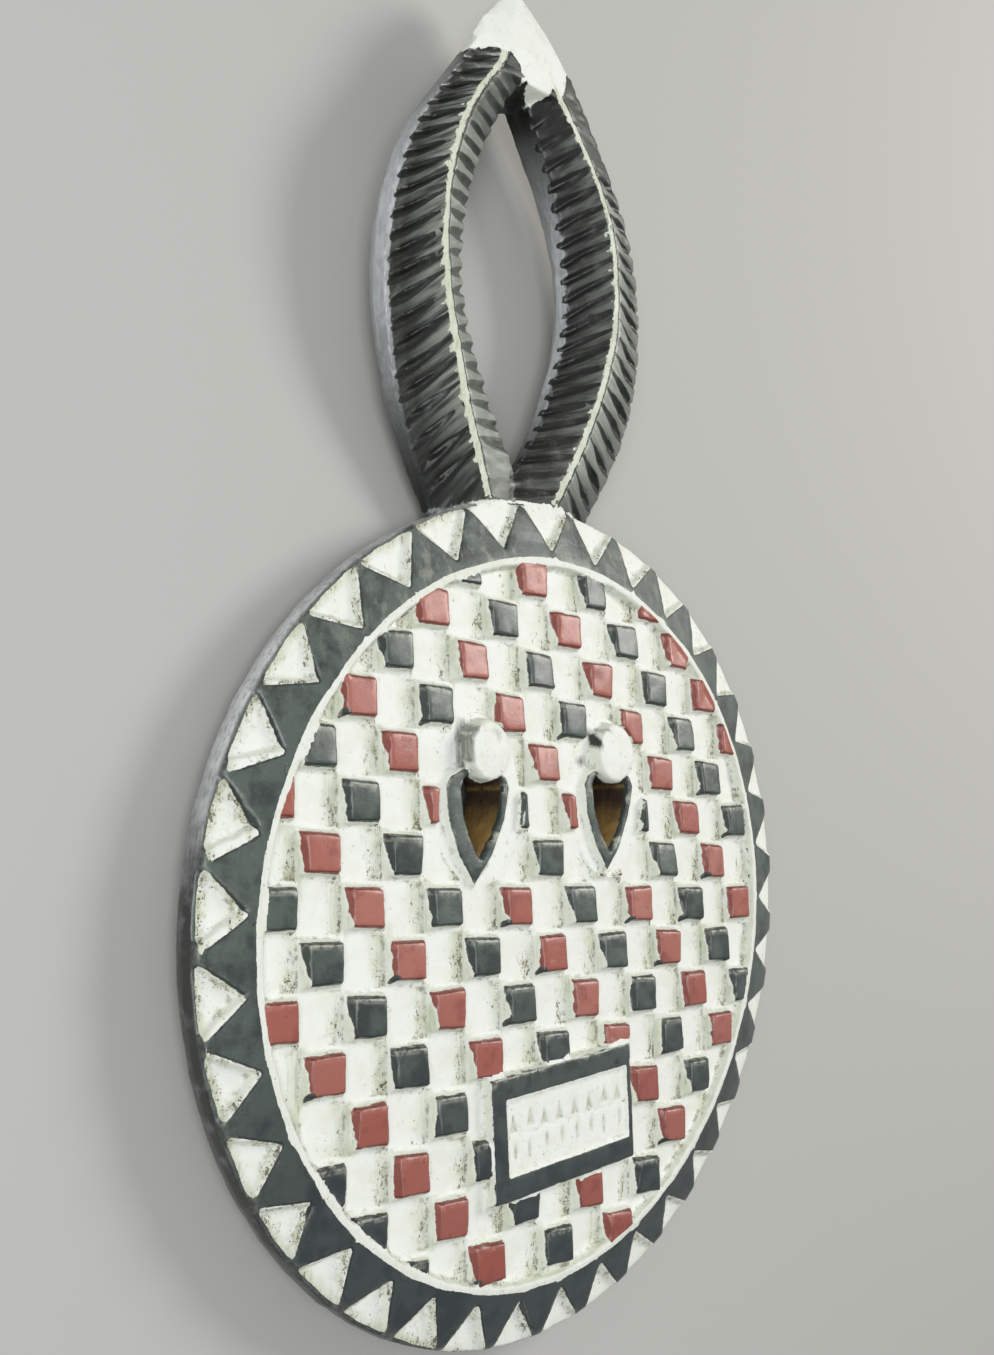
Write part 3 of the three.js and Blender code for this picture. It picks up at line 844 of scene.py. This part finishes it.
def paintPlan(data):
    points = readPoints(data)
    normals = readNormals(data)
    x, y, z = toMillimetres(points)
    place = np.stack([x, y, z], 1)
    radius = trueRadius(x, y)
    angle = np.arctan2(y, x)
    normalZ = normals[:, 2]
    outward = normals[:, 0] * np.cos(angle) + normals[:, 1] * np.sin(angle)
    # the checker, with plain ground round the eyes and under the mouth's frame
    depth, red, p, q, number, drip, (topGap, footGap, raised) = squaresPlan(x, y)
    clear, borderDepth, holeDepth, knobDepth, holeLighting = eyePlan(x, y, z, place)
    clip = np.minimum(checker["clipRadius"] - radius, clear)
    u, v = mouthPlan(x, y)
    frameDepth = boxDepth(u, v, *mouth["frameHalf"])
    panelDepth = boxDepth(u - mouth["panelShift"], v, *mouth["panelHalf"])
    front = (z > 20) & (radius < disc["fieldRadius"] + 2)
    onField = front & (frameDepth < -1.5)
    squares = np.where(onField, np.minimum(depth, clip), outside)
    drips = np.where(onField, np.minimum(drip, clip), outside)
    redDepth = np.where(red, squares, outside)
    darkDepth = np.maximum(np.where(red, outside, squares), drips)
    # eye borders and the mouth's frame
    darkDepth = np.maximum(darkDepth, np.where(front & (knobDepth < 0.4), borderDepth, outside))
    frameRing = np.minimum(frameDepth, -panelDepth)
    darkDepth = np.maximum(darkDepth, np.where(front, frameRing, outside))
    # the white triangles stop short of the worn edge at the left, and run over it at the right
    whiteEnd = rimPaint["whiteEnd"] + rimPaint["runOver"] * ease(-0.45, -0.05, np.cos(angle))
    whiteEnd += 0.5 * latticeNoise(place, 7.0, 12)
    triangles = softMinimum(toothDepth(x, y), whiteEnd - radius, rimPaint["cornerBlend"])
    whiteLine = rimPaint["whiteLine"] + 0.7 * latticeNoise(place, 9.0, 11)
    ringDepth = np.minimum(radius - disc["fieldRadius"] - whiteLine, -triangles)
    below = faceHeight(np.minimum(radius, discRadius)) - z
    side = (radius > discRadius - 3) & (outward > 0.45)
    ringDepth = np.where((side & (below > 2.5)) | (z < 8), 5.0, ringDepth)
    onRim = (radius > disc["fieldRadius"] - 0.5) & (radius < discRadius + 3)
    onHorn = (y > 130) & (radius >= discRadius + 1.8) & ((z < 30) | (y > 175))
    onRim &= ~onHorn
    darkDepth = np.where(onHorn, 5.0, np.where(onRim, ringDepth, darkDepth))
    rimBand = np.where(onRim | (z < 20), ease(0.5, 2.5, radius - whiteEnd) + side * ease(1.5, 3.5, below), 0)
    rimBand = np.where(onHorn, 0, np.clip(rimBand, 0, 1)) * (z > 1)
    horn = hornPlan(x, y, z)
    tip = outlineDepth(x, y, tipCap)
    # bare wood in the holes and behind
    floor = faceHeight(np.hypot(x, y)) - disc["relief"]
    inHole = (holeDepth > -1.2) & (z < floor + 2) & (z > 0.5)
    woodDepth = np.where(inHole, floor + eyeShape["borderRise"] - 2.2 - z, outside)
    behind = (normalZ < -0.25) & (z < 14) & (radius < 161)
    woodDepth = np.where(behind, 5.0, woodDepth)
    # dirt gathers on the right side of each sunk cell, and a greenish tint rises up to the next square, part
    # grime and part painted shade
    sunk = onField & (clip > 0) & (depth < -0.5)
    onLip = onRim & (radius < disc["fieldRadius"] + 5)
    dirt = np.where(sunk, 0.15 + 0.85 * ease(-1, 7, p) * (0.35 + 0.65 * ease(8, -4, q)), 0.3)
    dirt = np.where(onRim, 0.35 + 0.65 * ease(3.5, 0.5, triangles), dirt)
    dirt = np.where(knobDepth > -1, 0.35, dirt)
    dirt = np.where(onLip, 0.3, dirt)
    grimeAndShade = np.where(sunk, np.where(raised, ease(-6.5, -8.5, p), ease(0.5, 8.5, p)), 0.0)
    grimeAndShade *= 0.65 + 0.35 * handWobble(number, 6.6)
    grimeAndShade = np.where(onRim, 0.9 * ease(3.2, 0.4, whiteEnd - radius) * (np.cos(angle) < 0), grimeAndShade)
    grimeAndShade = np.where(onLip, 0.2, grimeAndShade)
    grimeAndShade = np.where(onHorn, 0.85 * (tip < -0.5), grimeAndShade)
    # upper edges of the cells and of the mouth's frame: dust with a painted highlight
    dustAndSheen = np.where(onField, ease(3.5, 7.2, q), 0.25)
    dustAndSheen = np.where(frameRing > -0.5, ease(20, 24.4, v), dustAndSheen)
    # painted shadow with dirt: a dark lip at the foot of the squares and along the edge of the teeth
    onSquare = onField & raised & (depth > -1.5) & (clip > -1.5)
    topGap = np.where(onSquare, topGap, 9.0)
    footGap = np.where(onSquare, footGap, np.where(onRim & (radius < 170), triangles + 0.35, 9.0))
    upper, lower = mouthTeeth(u, v)
    layers = {
        "redDepth": redDepth, "darkDepth": darkDepth, "woodDepth": woodDepth, "rimBand": rimBand,
        "dirt": dirt, "dustAndSheen": dustAndSheen, "grimeAndShade": grimeAndShade, "holeLighting": holeLighting, "topGap": topGap, "footGap": footGap,
        # steepShade: how steep the surface is, for painted shade on the walls
        "steepShade": ease(0.92, 0.6, normalZ), "dent": np.where(front, upper + 0.5 * lower, 0),
        # deep: painted shade that darkens the colours toward the chin
        "tone": handWobble(number, 7.7), "deep": ease(30, -150, y), "rimRubAndHighlight": rimWearAndHighlight(angle),
        "smudge": knobSmudges(x, y, z, place),
        # pale at the top of the ring: scuffs with a painted sheen
        "topScuffAndSheen": np.where(onRim & (normalZ > 0.5), 0.55 * ease(0.55, 0.95, np.cos(angle - 1.66)), 0.0),
    } | hornLayers(horn, onHorn, tip, y, place)
    for name, values in layers.items():
        addLayer(data, name, np.clip(values, -9, 9))
    # place along and across the slashes, for patterns that follow them
    stroke = np.stack([horn["phase"] * horn["pitch"], horn["share"] * 26, horn["row"] * 40], 1)
    layer = data.attributes.new("stroke", "FLOAT_VECTOR", "POINT")
    layer.data.foreach_set("vector", (stroke / 1000).astype(np.float32).ravel())
    return ["crest", *layers]


carvedMask = buildSkin()
paintLayers = paintPlan(carvedMask.data)
carvedMask.data.shade_smooth()
print("paint plan ready")


# Paint on carved softwood: chalky lime white, brick red earth and charcoal black, bound with glue, so matt to
# satin. The white is thick and stained. The black is worn to a grey gloss where hands hold it, painted greyer
# still as its highlight and reflection, and bare wood shows inside the eye holes and behind.
paint = {
    "white": "#F1F3ED", "whiteWarm": "#EBEDE0", "whiteShade": "#DEE3D3", "shadedGrime": "#C9CFB6",
    "streak": "#A9AC8C", "stain": "#B9B696", "speck": "#645F49", "dent": "#C2C5B0", "smudge": "#34372F",
    "red": "#A45A4D", "redPale": "#B8796C", "redDeep": "#84423A", "redSpot": "#5F2A22", "grit": "#3F3C2D",
    "charcoal": "#566059", "charcoalDark": "#353D3A", "charcoalShade": "#30363A", "charcoalEdge": "#1E2422",
    "dustAndSheen": "#A6AA9B", "hornDark": "#20211E", "hornWash": "#3E3F38", "hornPale": "#BBC1B5",
    "slash": "#11140F", "slashSoft": "#525850",
    # grey of the horns' smooth sides: painted reflection and highlight on worn black
    "band": "#ABAEAF", "bandPale": "#C6C9CA", "bandBrown": "#8A8984", "bandDark": "#343634",
    # the rim's side: worn black, with a painted highlight where it is rubbed
    "rim": "#2E2F2D", "rimHighlight": "#DCDDDE", "rimDark": "#262725",
    "wood": "#947742", "woodDark": "#2C1F12",
}
tint = {name: linearColour(hexText) for name, hexText in paint.items()}

# Roughness of each finish, the film of glue and handling over the colours, and the relief of the brush
finish = {
    "chalk": 0.6, "satin": 0.35, "polished": 0.24, "bareWood": 0.75, "unevenness": 0.1,
    "film": 0.34, "hornFilm": 0.1, "filmRoughness": 0.28,
    "bumpStrength": 0.5, "bumpDepth": 0.0006,
}

# What each pattern follows, the size of its bumps in millimetres, its detail and its roughness
patterns = {
    "edge": ("place", 2.4, 4.0, 0.6),
    "cloud": ("place", 9.0, 4.0, 0.55),
    "fine": ("place", 0.9, 2.0, 0.55),
    "lime": ("place", 3.2, 4.0, 0.7),
    "grit": ("place", 0.95, 3.0, 0.65),
    "speckle": ("runs", 1.5, 3.0, 0.62),
    "blotch": ("runs", 6.5, 4.0, 0.65),
    "streak": ("strokes", 1.3, 4.0, 0.6),
    "smear": ("strokes", 4.0, 3.0, 0.6),
    "fibre": ("fibres", 1.1, 4.0, 0.6),
}

# Patches cut out of the patterns: the pattern, where it starts and is full, and its strength
patches = {
    "warm": ("cloud", 0.42, 0.66, 0.8),
    "drawn": ("fibre", 0.54, 0.68, 0.7),
    "soiled": ("blotch", 0.36, 0.6, 1.0),
    "settled": ("lime", 0.46, 0.6, 0.55),
    "redCloud": ("cloud", 0.5, 0.7, 0.6),
    "redSpots": ("speckle", 0.67, 0.72, 0.7),
    "rubbed": ("edge", 0.35, 0.6, 1.0),
    "scuffsAndSheen": ("blotch", 0.5, 0.68, 0.8),
    "rimDark": ("fibre", 0.56, 0.3, 0.45),
    "wash": ("streak", 0.45, 0.7, 1.0),
    "smeared": ("smear", 0.36, 0.62, 1.0),
    "bandPale": ("fibre", 0.35, 0.7, 1.0),
    "bandBrown": ("cloud", 0.5, 0.72, 0.4),
}

# Spots in the white, denser where it is soiled: the pattern, how much denser, start, full and strength
spots = {
    "stain": ("lime", 0.3, 0.62, 0.9, 0.7),
    "speck": ("speckle", 0.18, 0.72, 0.78, 0.85),
    "grit": ("grit", 0.16, 0.71, 0.76, 0.9),
}

# Ragged edge of each painted area: how far the brush strays in millimetres, and its mask's start and full
brushEdges = {
    "redDepth": (0.9, -0.12, 0.08),
    "darkDepth": (0.9, -0.12, 0.08),
    "woodDepth": (2.6, -0.2, 0.4),
    "mark": (3.0, -0.2, 0.2),
}

# Settings that many nodes share
colours = {"data_type": "RGBA"}
smooth = {"interpolation_type": "SMOOTHSTEP"}
add = {"operation": "ADD"}
subtract = {"operation": "SUBTRACT"}
multiply = {"operation": "MULTIPLY"}
multiplyAdd = {"operation": "MULTIPLY_ADD"}
larger = {"operation": "MAXIMUM"}
smaller = {"operation": "MINIMUM"}
unsigned = {"operation": "ABSOLUTE"}


def makeWhite(tree, read, pattern, patch):
    # warm and cool clouds of lime, specked on the right of the sunk cells and greened there by grime and
    # painted shade
    white = addNode(tree, "Mix", colours | {6: tint["white"], 7: tint["whiteWarm"]}, {0: patch["warm"]}, 2)
    # steep walls are painted a greener white: painted shade
    steepShade = addNode(tree, "Math", multiply | {1: 0.75}, {0: read["steepShade"]})
    patchy = addNode(tree, "MapRange", {1: 0.3, 2: 0.62, 3: 0.45}, {0: pattern["cloud"]})
    grimeAndShadeMask = addNode(tree, "Math", multiply, {0: patchy, 1: read["grimeAndShade"]})
    drawn = addNode(tree, "Math", multiply, {0: patch["drawn"], 1: read["grimeAndShade"]})
    soiled = addNode(tree, "Math", multiply, {0: patch["soiled"], 1: read["dirt"]})
    spot = {}
    for name, (source, gain, start, full, strength) in spots.items():
        field = addNode(tree, "Math", multiplyAdd | {1: gain}, {0: soiled, 2: pattern[source]})
        spot[name] = addNode(tree, "MapRange", smooth | {1: start, 2: full, 4: strength}, {0: field})
    hollow = addNode(tree, "MapRange", smooth | {1: -0.05, 2: -0.18}, {0: read["crest"]})
    hollow = addNode(tree, "Math", multiply, {0: hollow, 1: patch["settled"]})
    # the carved dents of the teeth are painted greyer: painted shade in the dents
    dentShade = addNode(tree, "MapRange", smooth | {1: 0.05, 2: 0.5, 4: 0.6}, {0: read["dent"]})
    # scraped streaks and thumb marks on the knobs
    scraped = addNode(tree, "MapRange", smooth | {1: 0.28, 2: 0.55, 3: 0.25}, {0: pattern["fibre"]})
    scraped = addNode(tree, "Math", larger, {0: scraped, 1: read["smudge"]})
    scraped = addNode(tree, "Math", multiply, {0: scraped, 1: read["smudge"]})
    for name, mask in (("whiteShade", steepShade), ("shadedGrime", grimeAndShadeMask), ("streak", drawn), ("stain", spot["stain"]),
                       ("speck", spot["speck"]), ("grit", spot["grit"]), ("speck", hollow), ("dent", dentShade),
                       ("smudge", scraped)):
        white = addNode(tree, "Mix", colours | {7: tint[name]}, {0: mask, 6: white}, 2)
    return white, spot


def makeEarthColours(tree, read, pattern, patch):
    # squares differ a little, and the colours are painted darker toward the chin: painted shade where the
    # sheen on the upper squares fades
    redTone = addNode(tree, "MapRange", {1: -1.0, 2: 1.0, 4: 0.7}, {0: read["tone"]})
    red = addNode(tree, "Mix", colours | {6: tint["red"], 7: tint["redPale"]}, {0: redTone}, 2)
    darkTone = addNode(tree, "Math", multiplyAdd | {1: 0.09}, {0: read["tone"], 2: pattern["cloud"]})
    darkTone = addNode(tree, "MapRange", smooth | {1: 0.3, 2: 0.62}, {0: darkTone})
    dark = addNode(tree, "Mix", colours | {6: tint["charcoalDark"], 7: tint["charcoal"]}, {0: darkTone}, 2)
    deepRed = addNode(tree, "Math", multiply | {1: 0.4}, {0: read["deep"]})
    deepDark = addNode(tree, "Math", multiply | {1: 0.7}, {0: read["deep"]})
    # steep walls are painted deeper red and darker charcoal: painted shade
    steepShade = addNode(tree, "Math", multiply | {1: 0.8}, {0: read["steepShade"]})
    # a dark top edge and a dark lip at the foot, painted shadow with dirt, and a pale line below the top edge
    # and on worn crests, dust with a painted highlight
    edgeDrift = addNode(tree, "Math", multiplyAdd | {1: 0.9, 2: -0.45}, {0: pattern["edge"]})
    fromTop = addNode(tree, "Math", add, {0: edgeDrift, 1: read["topGap"]})
    fromFoot = addNode(tree, "Math", add, {0: edgeDrift, 1: read["footGap"]})
    fromFoot = addNode(tree, "Math", unsigned, {0: fromFoot})
    fromLine = {}
    for name, at in (("dustAndSheen", 1.5), ("edge", -0.1)):
        off = addNode(tree, "Math", subtract | {1: at}, {0: fromTop})
        fromLine[name] = addNode(tree, "Math", unsigned, {0: off})
    dustAndSheenLine = addNode(tree, "MapRange", smooth | {1: 1.1, 2: 0.2, 4: 0.4}, {0: fromLine["dustAndSheen"]})
    wornAndLit = addNode(tree, "MapRange", smooth | {1: 0.02, 2: 0.14}, {0: read["crest"]})
    wornAndLit = addNode(tree, "Math", multiply, {0: wornAndLit, 1: read["dustAndSheen"]})
    wornAndLit = addNode(tree, "Math", larger, {0: wornAndLit, 1: dustAndSheenLine})
    wornAndLit = addNode(tree, "Math", multiply, {0: wornAndLit, 1: patch["rubbed"]})
    edgeShadowAndDirt = addNode(tree, "Math", smaller, {0: fromLine["edge"], 1: fromFoot})
    edgeShadowAndDirt = addNode(tree, "MapRange", smooth | {1: 0.65, 2: 0.2, 4: 0.7}, {0: edgeShadowAndDirt})
    # the ring is painted pale at the top: scuffs with a painted sheen
    scuffsAndSheen = addNode(tree, "Math", multiply, {0: patch["scuffsAndSheen"], 1: read["topScuffAndSheen"]})
    for name, mask in (("redDeep", patch["redCloud"]), ("redSpot", patch["redSpots"]), ("redDeep", deepRed),
                       ("redDeep", steepShade), ("redPale", wornAndLit), ("redSpot", edgeShadowAndDirt)):
        red = addNode(tree, "Mix", colours | {7: tint[name]}, {0: mask, 6: red}, 2)
    for name, mask in (("charcoalShade", deepDark), ("charcoalDark", steepShade), ("dustAndSheen", wornAndLit),
                       ("charcoalEdge", edgeShadowAndDirt), ("dustAndSheen", scuffsAndSheen)):
        dark = addNode(tree, "Mix", colours | {7: tint[name]}, {0: mask, 6: dark}, 2)
    return red, dark


def makeRimWearAndHighlight(tree, read, pattern, patch):
    # rubbed to a glossy grey, with a painted highlight at the upper left and paler and darker patches
    rubAndHighlight = addNode(tree, "Math", multiplyAdd | {1: 0.9, 2: -0.45}, {0: pattern["cloud"]})
    rubAndHighlight = addNode(tree, "Math", add, {0: rubAndHighlight, 1: read["rimRubAndHighlight"]})
    rubAndHighlight = addNode(tree, "MapRange", {1: 0.05, 2: 1.05}, {0: rubAndHighlight})
    rim = addNode(tree, "Mix", colours | {6: tint["rim"], 7: tint["rimHighlight"]}, {0: rubAndHighlight}, 2)
    return addNode(tree, "Mix", colours | {7: tint["rimDark"]}, {0: patch["rimDark"], 6: rim}, 2)


def makeHornWood(tree, read, pattern, patch):
    # black-brown wood with a grey wash, whitened by the paint that was rubbed over the ridge
    face = addNode(tree, "Mix", colours | {6: tint["hornDark"], 7: tint["hornWash"]}, {0: patch["wash"]}, 2)
    evenly = addNode(tree, "Math", multiply | {1: 0.75}, {0: read["crisp"]})
    smeared = addNode(tree, "Math", larger, {0: patch["smeared"], 1: evenly})
    palePatch = addNode(tree, "Math", multiply, {0: smeared, 1: read["pale"]})
    face = addNode(tree, "Mix", colours | {7: tint["hornPale"]}, {0: palePatch, 6: face}, 2)
    ragged = addNode(tree, "Math", multiplyAdd | {1: 0.9}, {0: pattern["streak"], 2: read["slash"]})
    slashMask = addNode(tree, "MapRange", smooth | {1: 0.2, 2: 0.55, 4: 0.95}, {0: ragged})
    cut = addNode(tree, "Mix", colours | {6: tint["slash"], 7: tint["slashSoft"]}, {0: read["soft"]}, 2)
    face = addNode(tree, "Mix", colours, {0: slashMask, 6: face, 7: cut}, 2)
    # smooth sides: the black is painted grey as the reflection of its soft gloss, with paler streaks and some
    # brown, and darker toward foot and tip around a painted highlight at half height
    band = addNode(tree, "Mix", colours | {6: tint["band"], 7: tint["bandPale"]}, {0: patch["bandPale"]}, 2)
    band = addNode(tree, "Mix", colours | {7: tint["bandBrown"]}, {0: patch["bandBrown"], 6: band}, 2)
    band = addNode(tree, "Mix", colours | {6: tint["bandDark"]}, {0: read["bandHighlight"], 7: band}, 2)
    bandMask = addNode(tree, "Math", multiplyAdd | {1: 1.2}, {0: pattern["edge"], 2: read["band"]})
    bandMask = addNode(tree, "MapRange", smooth | {1: 0.3, 2: 1.1}, {0: bandMask})
    notSlash = addNode(tree, "Math", subtract | {0: 1.0}, {1: slashMask})
    bandMask = addNode(tree, "Math", multiply, {0: bandMask, 1: notSlash})
    face = addNode(tree, "Mix", colours, {0: bandMask, 6: face, 7: band}, 2)
    # painted shade in the thin groove on the right of the ridge, a painted shadow in the notch under the tip,
    # and a darker foot
    grooveShade = addNode(tree, "Math", subtract | {1: horns["grooveAt"]}, {0: read["ridgeSide"]})
    grooveShade = addNode(tree, "Math", unsigned, {0: grooveShade})
    grooveShade = addNode(tree, "MapRange", smooth | {1: 0.75, 2: 0.35, 4: 0.9}, {0: grooveShade})
    for mask in (grooveShade, read["tipShadowAndDarkFoot"]):
        face = addNode(tree, "Mix", colours | {7: tint["slash"]}, {0: mask, 6: face}, 2)
    return face, bandMask


def makeBareWood(tree, read, pattern):
    # ochre wood with faint fibres along its length, painted dark under the knobs as their shadow and lighter
    # below as painted light
    grain = addNode(tree, "Math", multiplyAdd | {1: 0.45}, {0: pattern["fibre"], 2: read["holeLighting"]})
    grain = addNode(tree, "Math", multiplyAdd | {1: 0.35}, {0: pattern["lime"], 2: grain})
    grain = addNode(tree, "MapRange", smooth | {1: 0.3, 2: 1.35}, {0: grain})
    return addNode(tree, "Mix", colours | {6: tint["woodDark"], 7: tint["wood"]}, {0: grain}, 2)


def makePaint(layers):
    material = bpy.data.materials.new("limewashAndEarthPaintOnWood")
    material.use_nodes = True
    tree = material.node_tree
    skinShader = tree.nodes["Principled BSDF"]
    read = {name: addNode(tree, "Attribute", {"attribute_name": name}, give="Fac") for name in layers}
    stroke = addNode(tree, "Attribute", {"attribute_name": "stroke"}, give="Vector")
    place = addNode(tree, "TexCoord", give="Object")
    # stretched copies of the place: runs of dirt down the face, strokes along the slashes, fibres up the wood
    follow = {"place": place}
    for name, source, squeeze in (("runs", place, 0.45), ("strokes", stroke, 0.14), ("fibres", place, 0.08)):
        follow[name] = addNode(tree, "Mapping", {"Scale": (1.0, squeeze, 1.0)}, {"Vector": source})
    pattern = {}
    for name, (source, size, detail, roughness) in patterns.items():
        settings = {"Scale": 1000 / size, "Detail": detail, "Roughness": roughness}
        pattern[name] = addNode(tree, "TexNoise", settings, {"Vector": follow[source]})
    patch = {}
    for name, (source, start, full, strength) in patches.items():
        settings = smooth | {1: start, 2: full, 4: strength}
        patch[name] = addNode(tree, "MapRange", settings, {0: pattern[source]})

    white, spot = makeWhite(tree, read, pattern, patch)
    red, dark = makeEarthColours(tree, read, pattern, patch)
    rim = makeRimWearAndHighlight(tree, read, pattern, patch)
    dark = addNode(tree, "Mix", colours, {0: read["rimBand"], 6: dark, 7: rim}, 2)
    face, bandMask = makeHornWood(tree, read, pattern, patch)
    hornMask = addNode(tree, "MapRange", {1: -1.0, 2: 1.0}, {0: read["hornDepth"]})
    dark = addNode(tree, "Mix", colours, {0: hornMask, 6: dark, 7: face}, 2)
    wood = makeBareWood(tree, read, pattern)

    # the brush leaves ragged edges
    wobble = addNode(tree, "Math", subtract | {1: 0.5}, {0: pattern["edge"]})
    masks = {}
    for name, (reach, low, high) in brushEdges.items():
        ragged = addNode(tree, "Math", multiplyAdd | {1: reach}, {0: wobble, 2: read[name]})
        masks[name] = addNode(tree, "MapRange", smooth | {1: low, 2: high}, {0: ragged})
    colour = white
    for name, coat in (("redDepth", red), ("darkDepth", dark), ("mark", white), ("woodDepth", wood)):
        colour = addNode(tree, "Mix", colours, {0: masks[name], 6: colour, 7: coat}, 2)
    tree.links.new(colour, skinShader.inputs["Base Color"])

    # sheen: chalky white, satin colours, polished sides
    unmarked = addNode(tree, "Math", subtract | {0: 1.0}, {1: masks["mark"]})
    coloured = addNode(tree, "Math", larger, {0: masks["darkDepth"], 1: masks["redDepth"]})
    darkShare = addNode(tree, "Math", multiply, {0: coloured, 1: unmarked})
    rough = addNode(tree, "Mix", {2: finish["chalk"], 3: finish["satin"]}, {0: darkShare})
    polished = addNode(tree, "Math", larger, {0: read["rimBand"], 1: bandMask})
    polished = addNode(tree, "Math", multiply, {0: polished, 1: darkShare})
    rough = addNode(tree, "Mix", {3: finish["polished"]}, {0: polished, 2: rough})
    rough = addNode(tree, "Mix", {3: finish["bareWood"]}, {0: masks["woodDepth"], 2: rough})
    rough = addNode(tree, "Math", multiplyAdd | {1: finish["unevenness"]}, {0: pattern["fine"], 2: rough})
    tree.links.new(rough, skinShader.inputs["Roughness"])

    # a thin film of glue and handling gives the colours a sharper sheen on top
    settings = {1: -1.0, 2: 1.0, 3: finish["film"], 4: finish["hornFilm"]}
    film = addNode(tree, "MapRange", settings, {0: read["hornDepth"]})
    film = addNode(tree, "Math", multiply, {0: darkShare, 1: film})
    film = addNode(tree, "Mix", {3: 0.0}, {0: masks["woodDepth"], 2: film})
    tree.links.new(film, skinShader.inputs["Coat Weight"])
    skinShader.inputs["Coat Roughness"].default_value = finish["filmRoughness"]

    # brush marks, grit in the lime, and pits where the paint has chipped
    height = addNode(tree, "Math", multiply | {1: 0.5}, {0: pattern["lime"]})
    height = addNode(tree, "Math", multiplyAdd | {1: 0.2}, {0: pattern["fine"], 2: height})
    pits = addNode(tree, "Math", larger, {0: spot["speck"], 1: spot["grit"]})
    pits = addNode(tree, "Math", multiply | {1: -0.3}, {0: pits})
    height = addNode(tree, "Math", add, {0: height, 1: pits})
    settings = {"Strength": finish["bumpStrength"], "Distance": finish["bumpDepth"]}
    bump = addNode(tree, "Bump", settings, {"Height": height})
    tree.links.new(bump, skinShader.inputs["Normal"])
    return material


carvedMask.data.materials.clear()
carvedMask.data.materials.append(makePaint(paintLayers))
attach(carvedMask, "root")
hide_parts("mask")
print("mask painted")
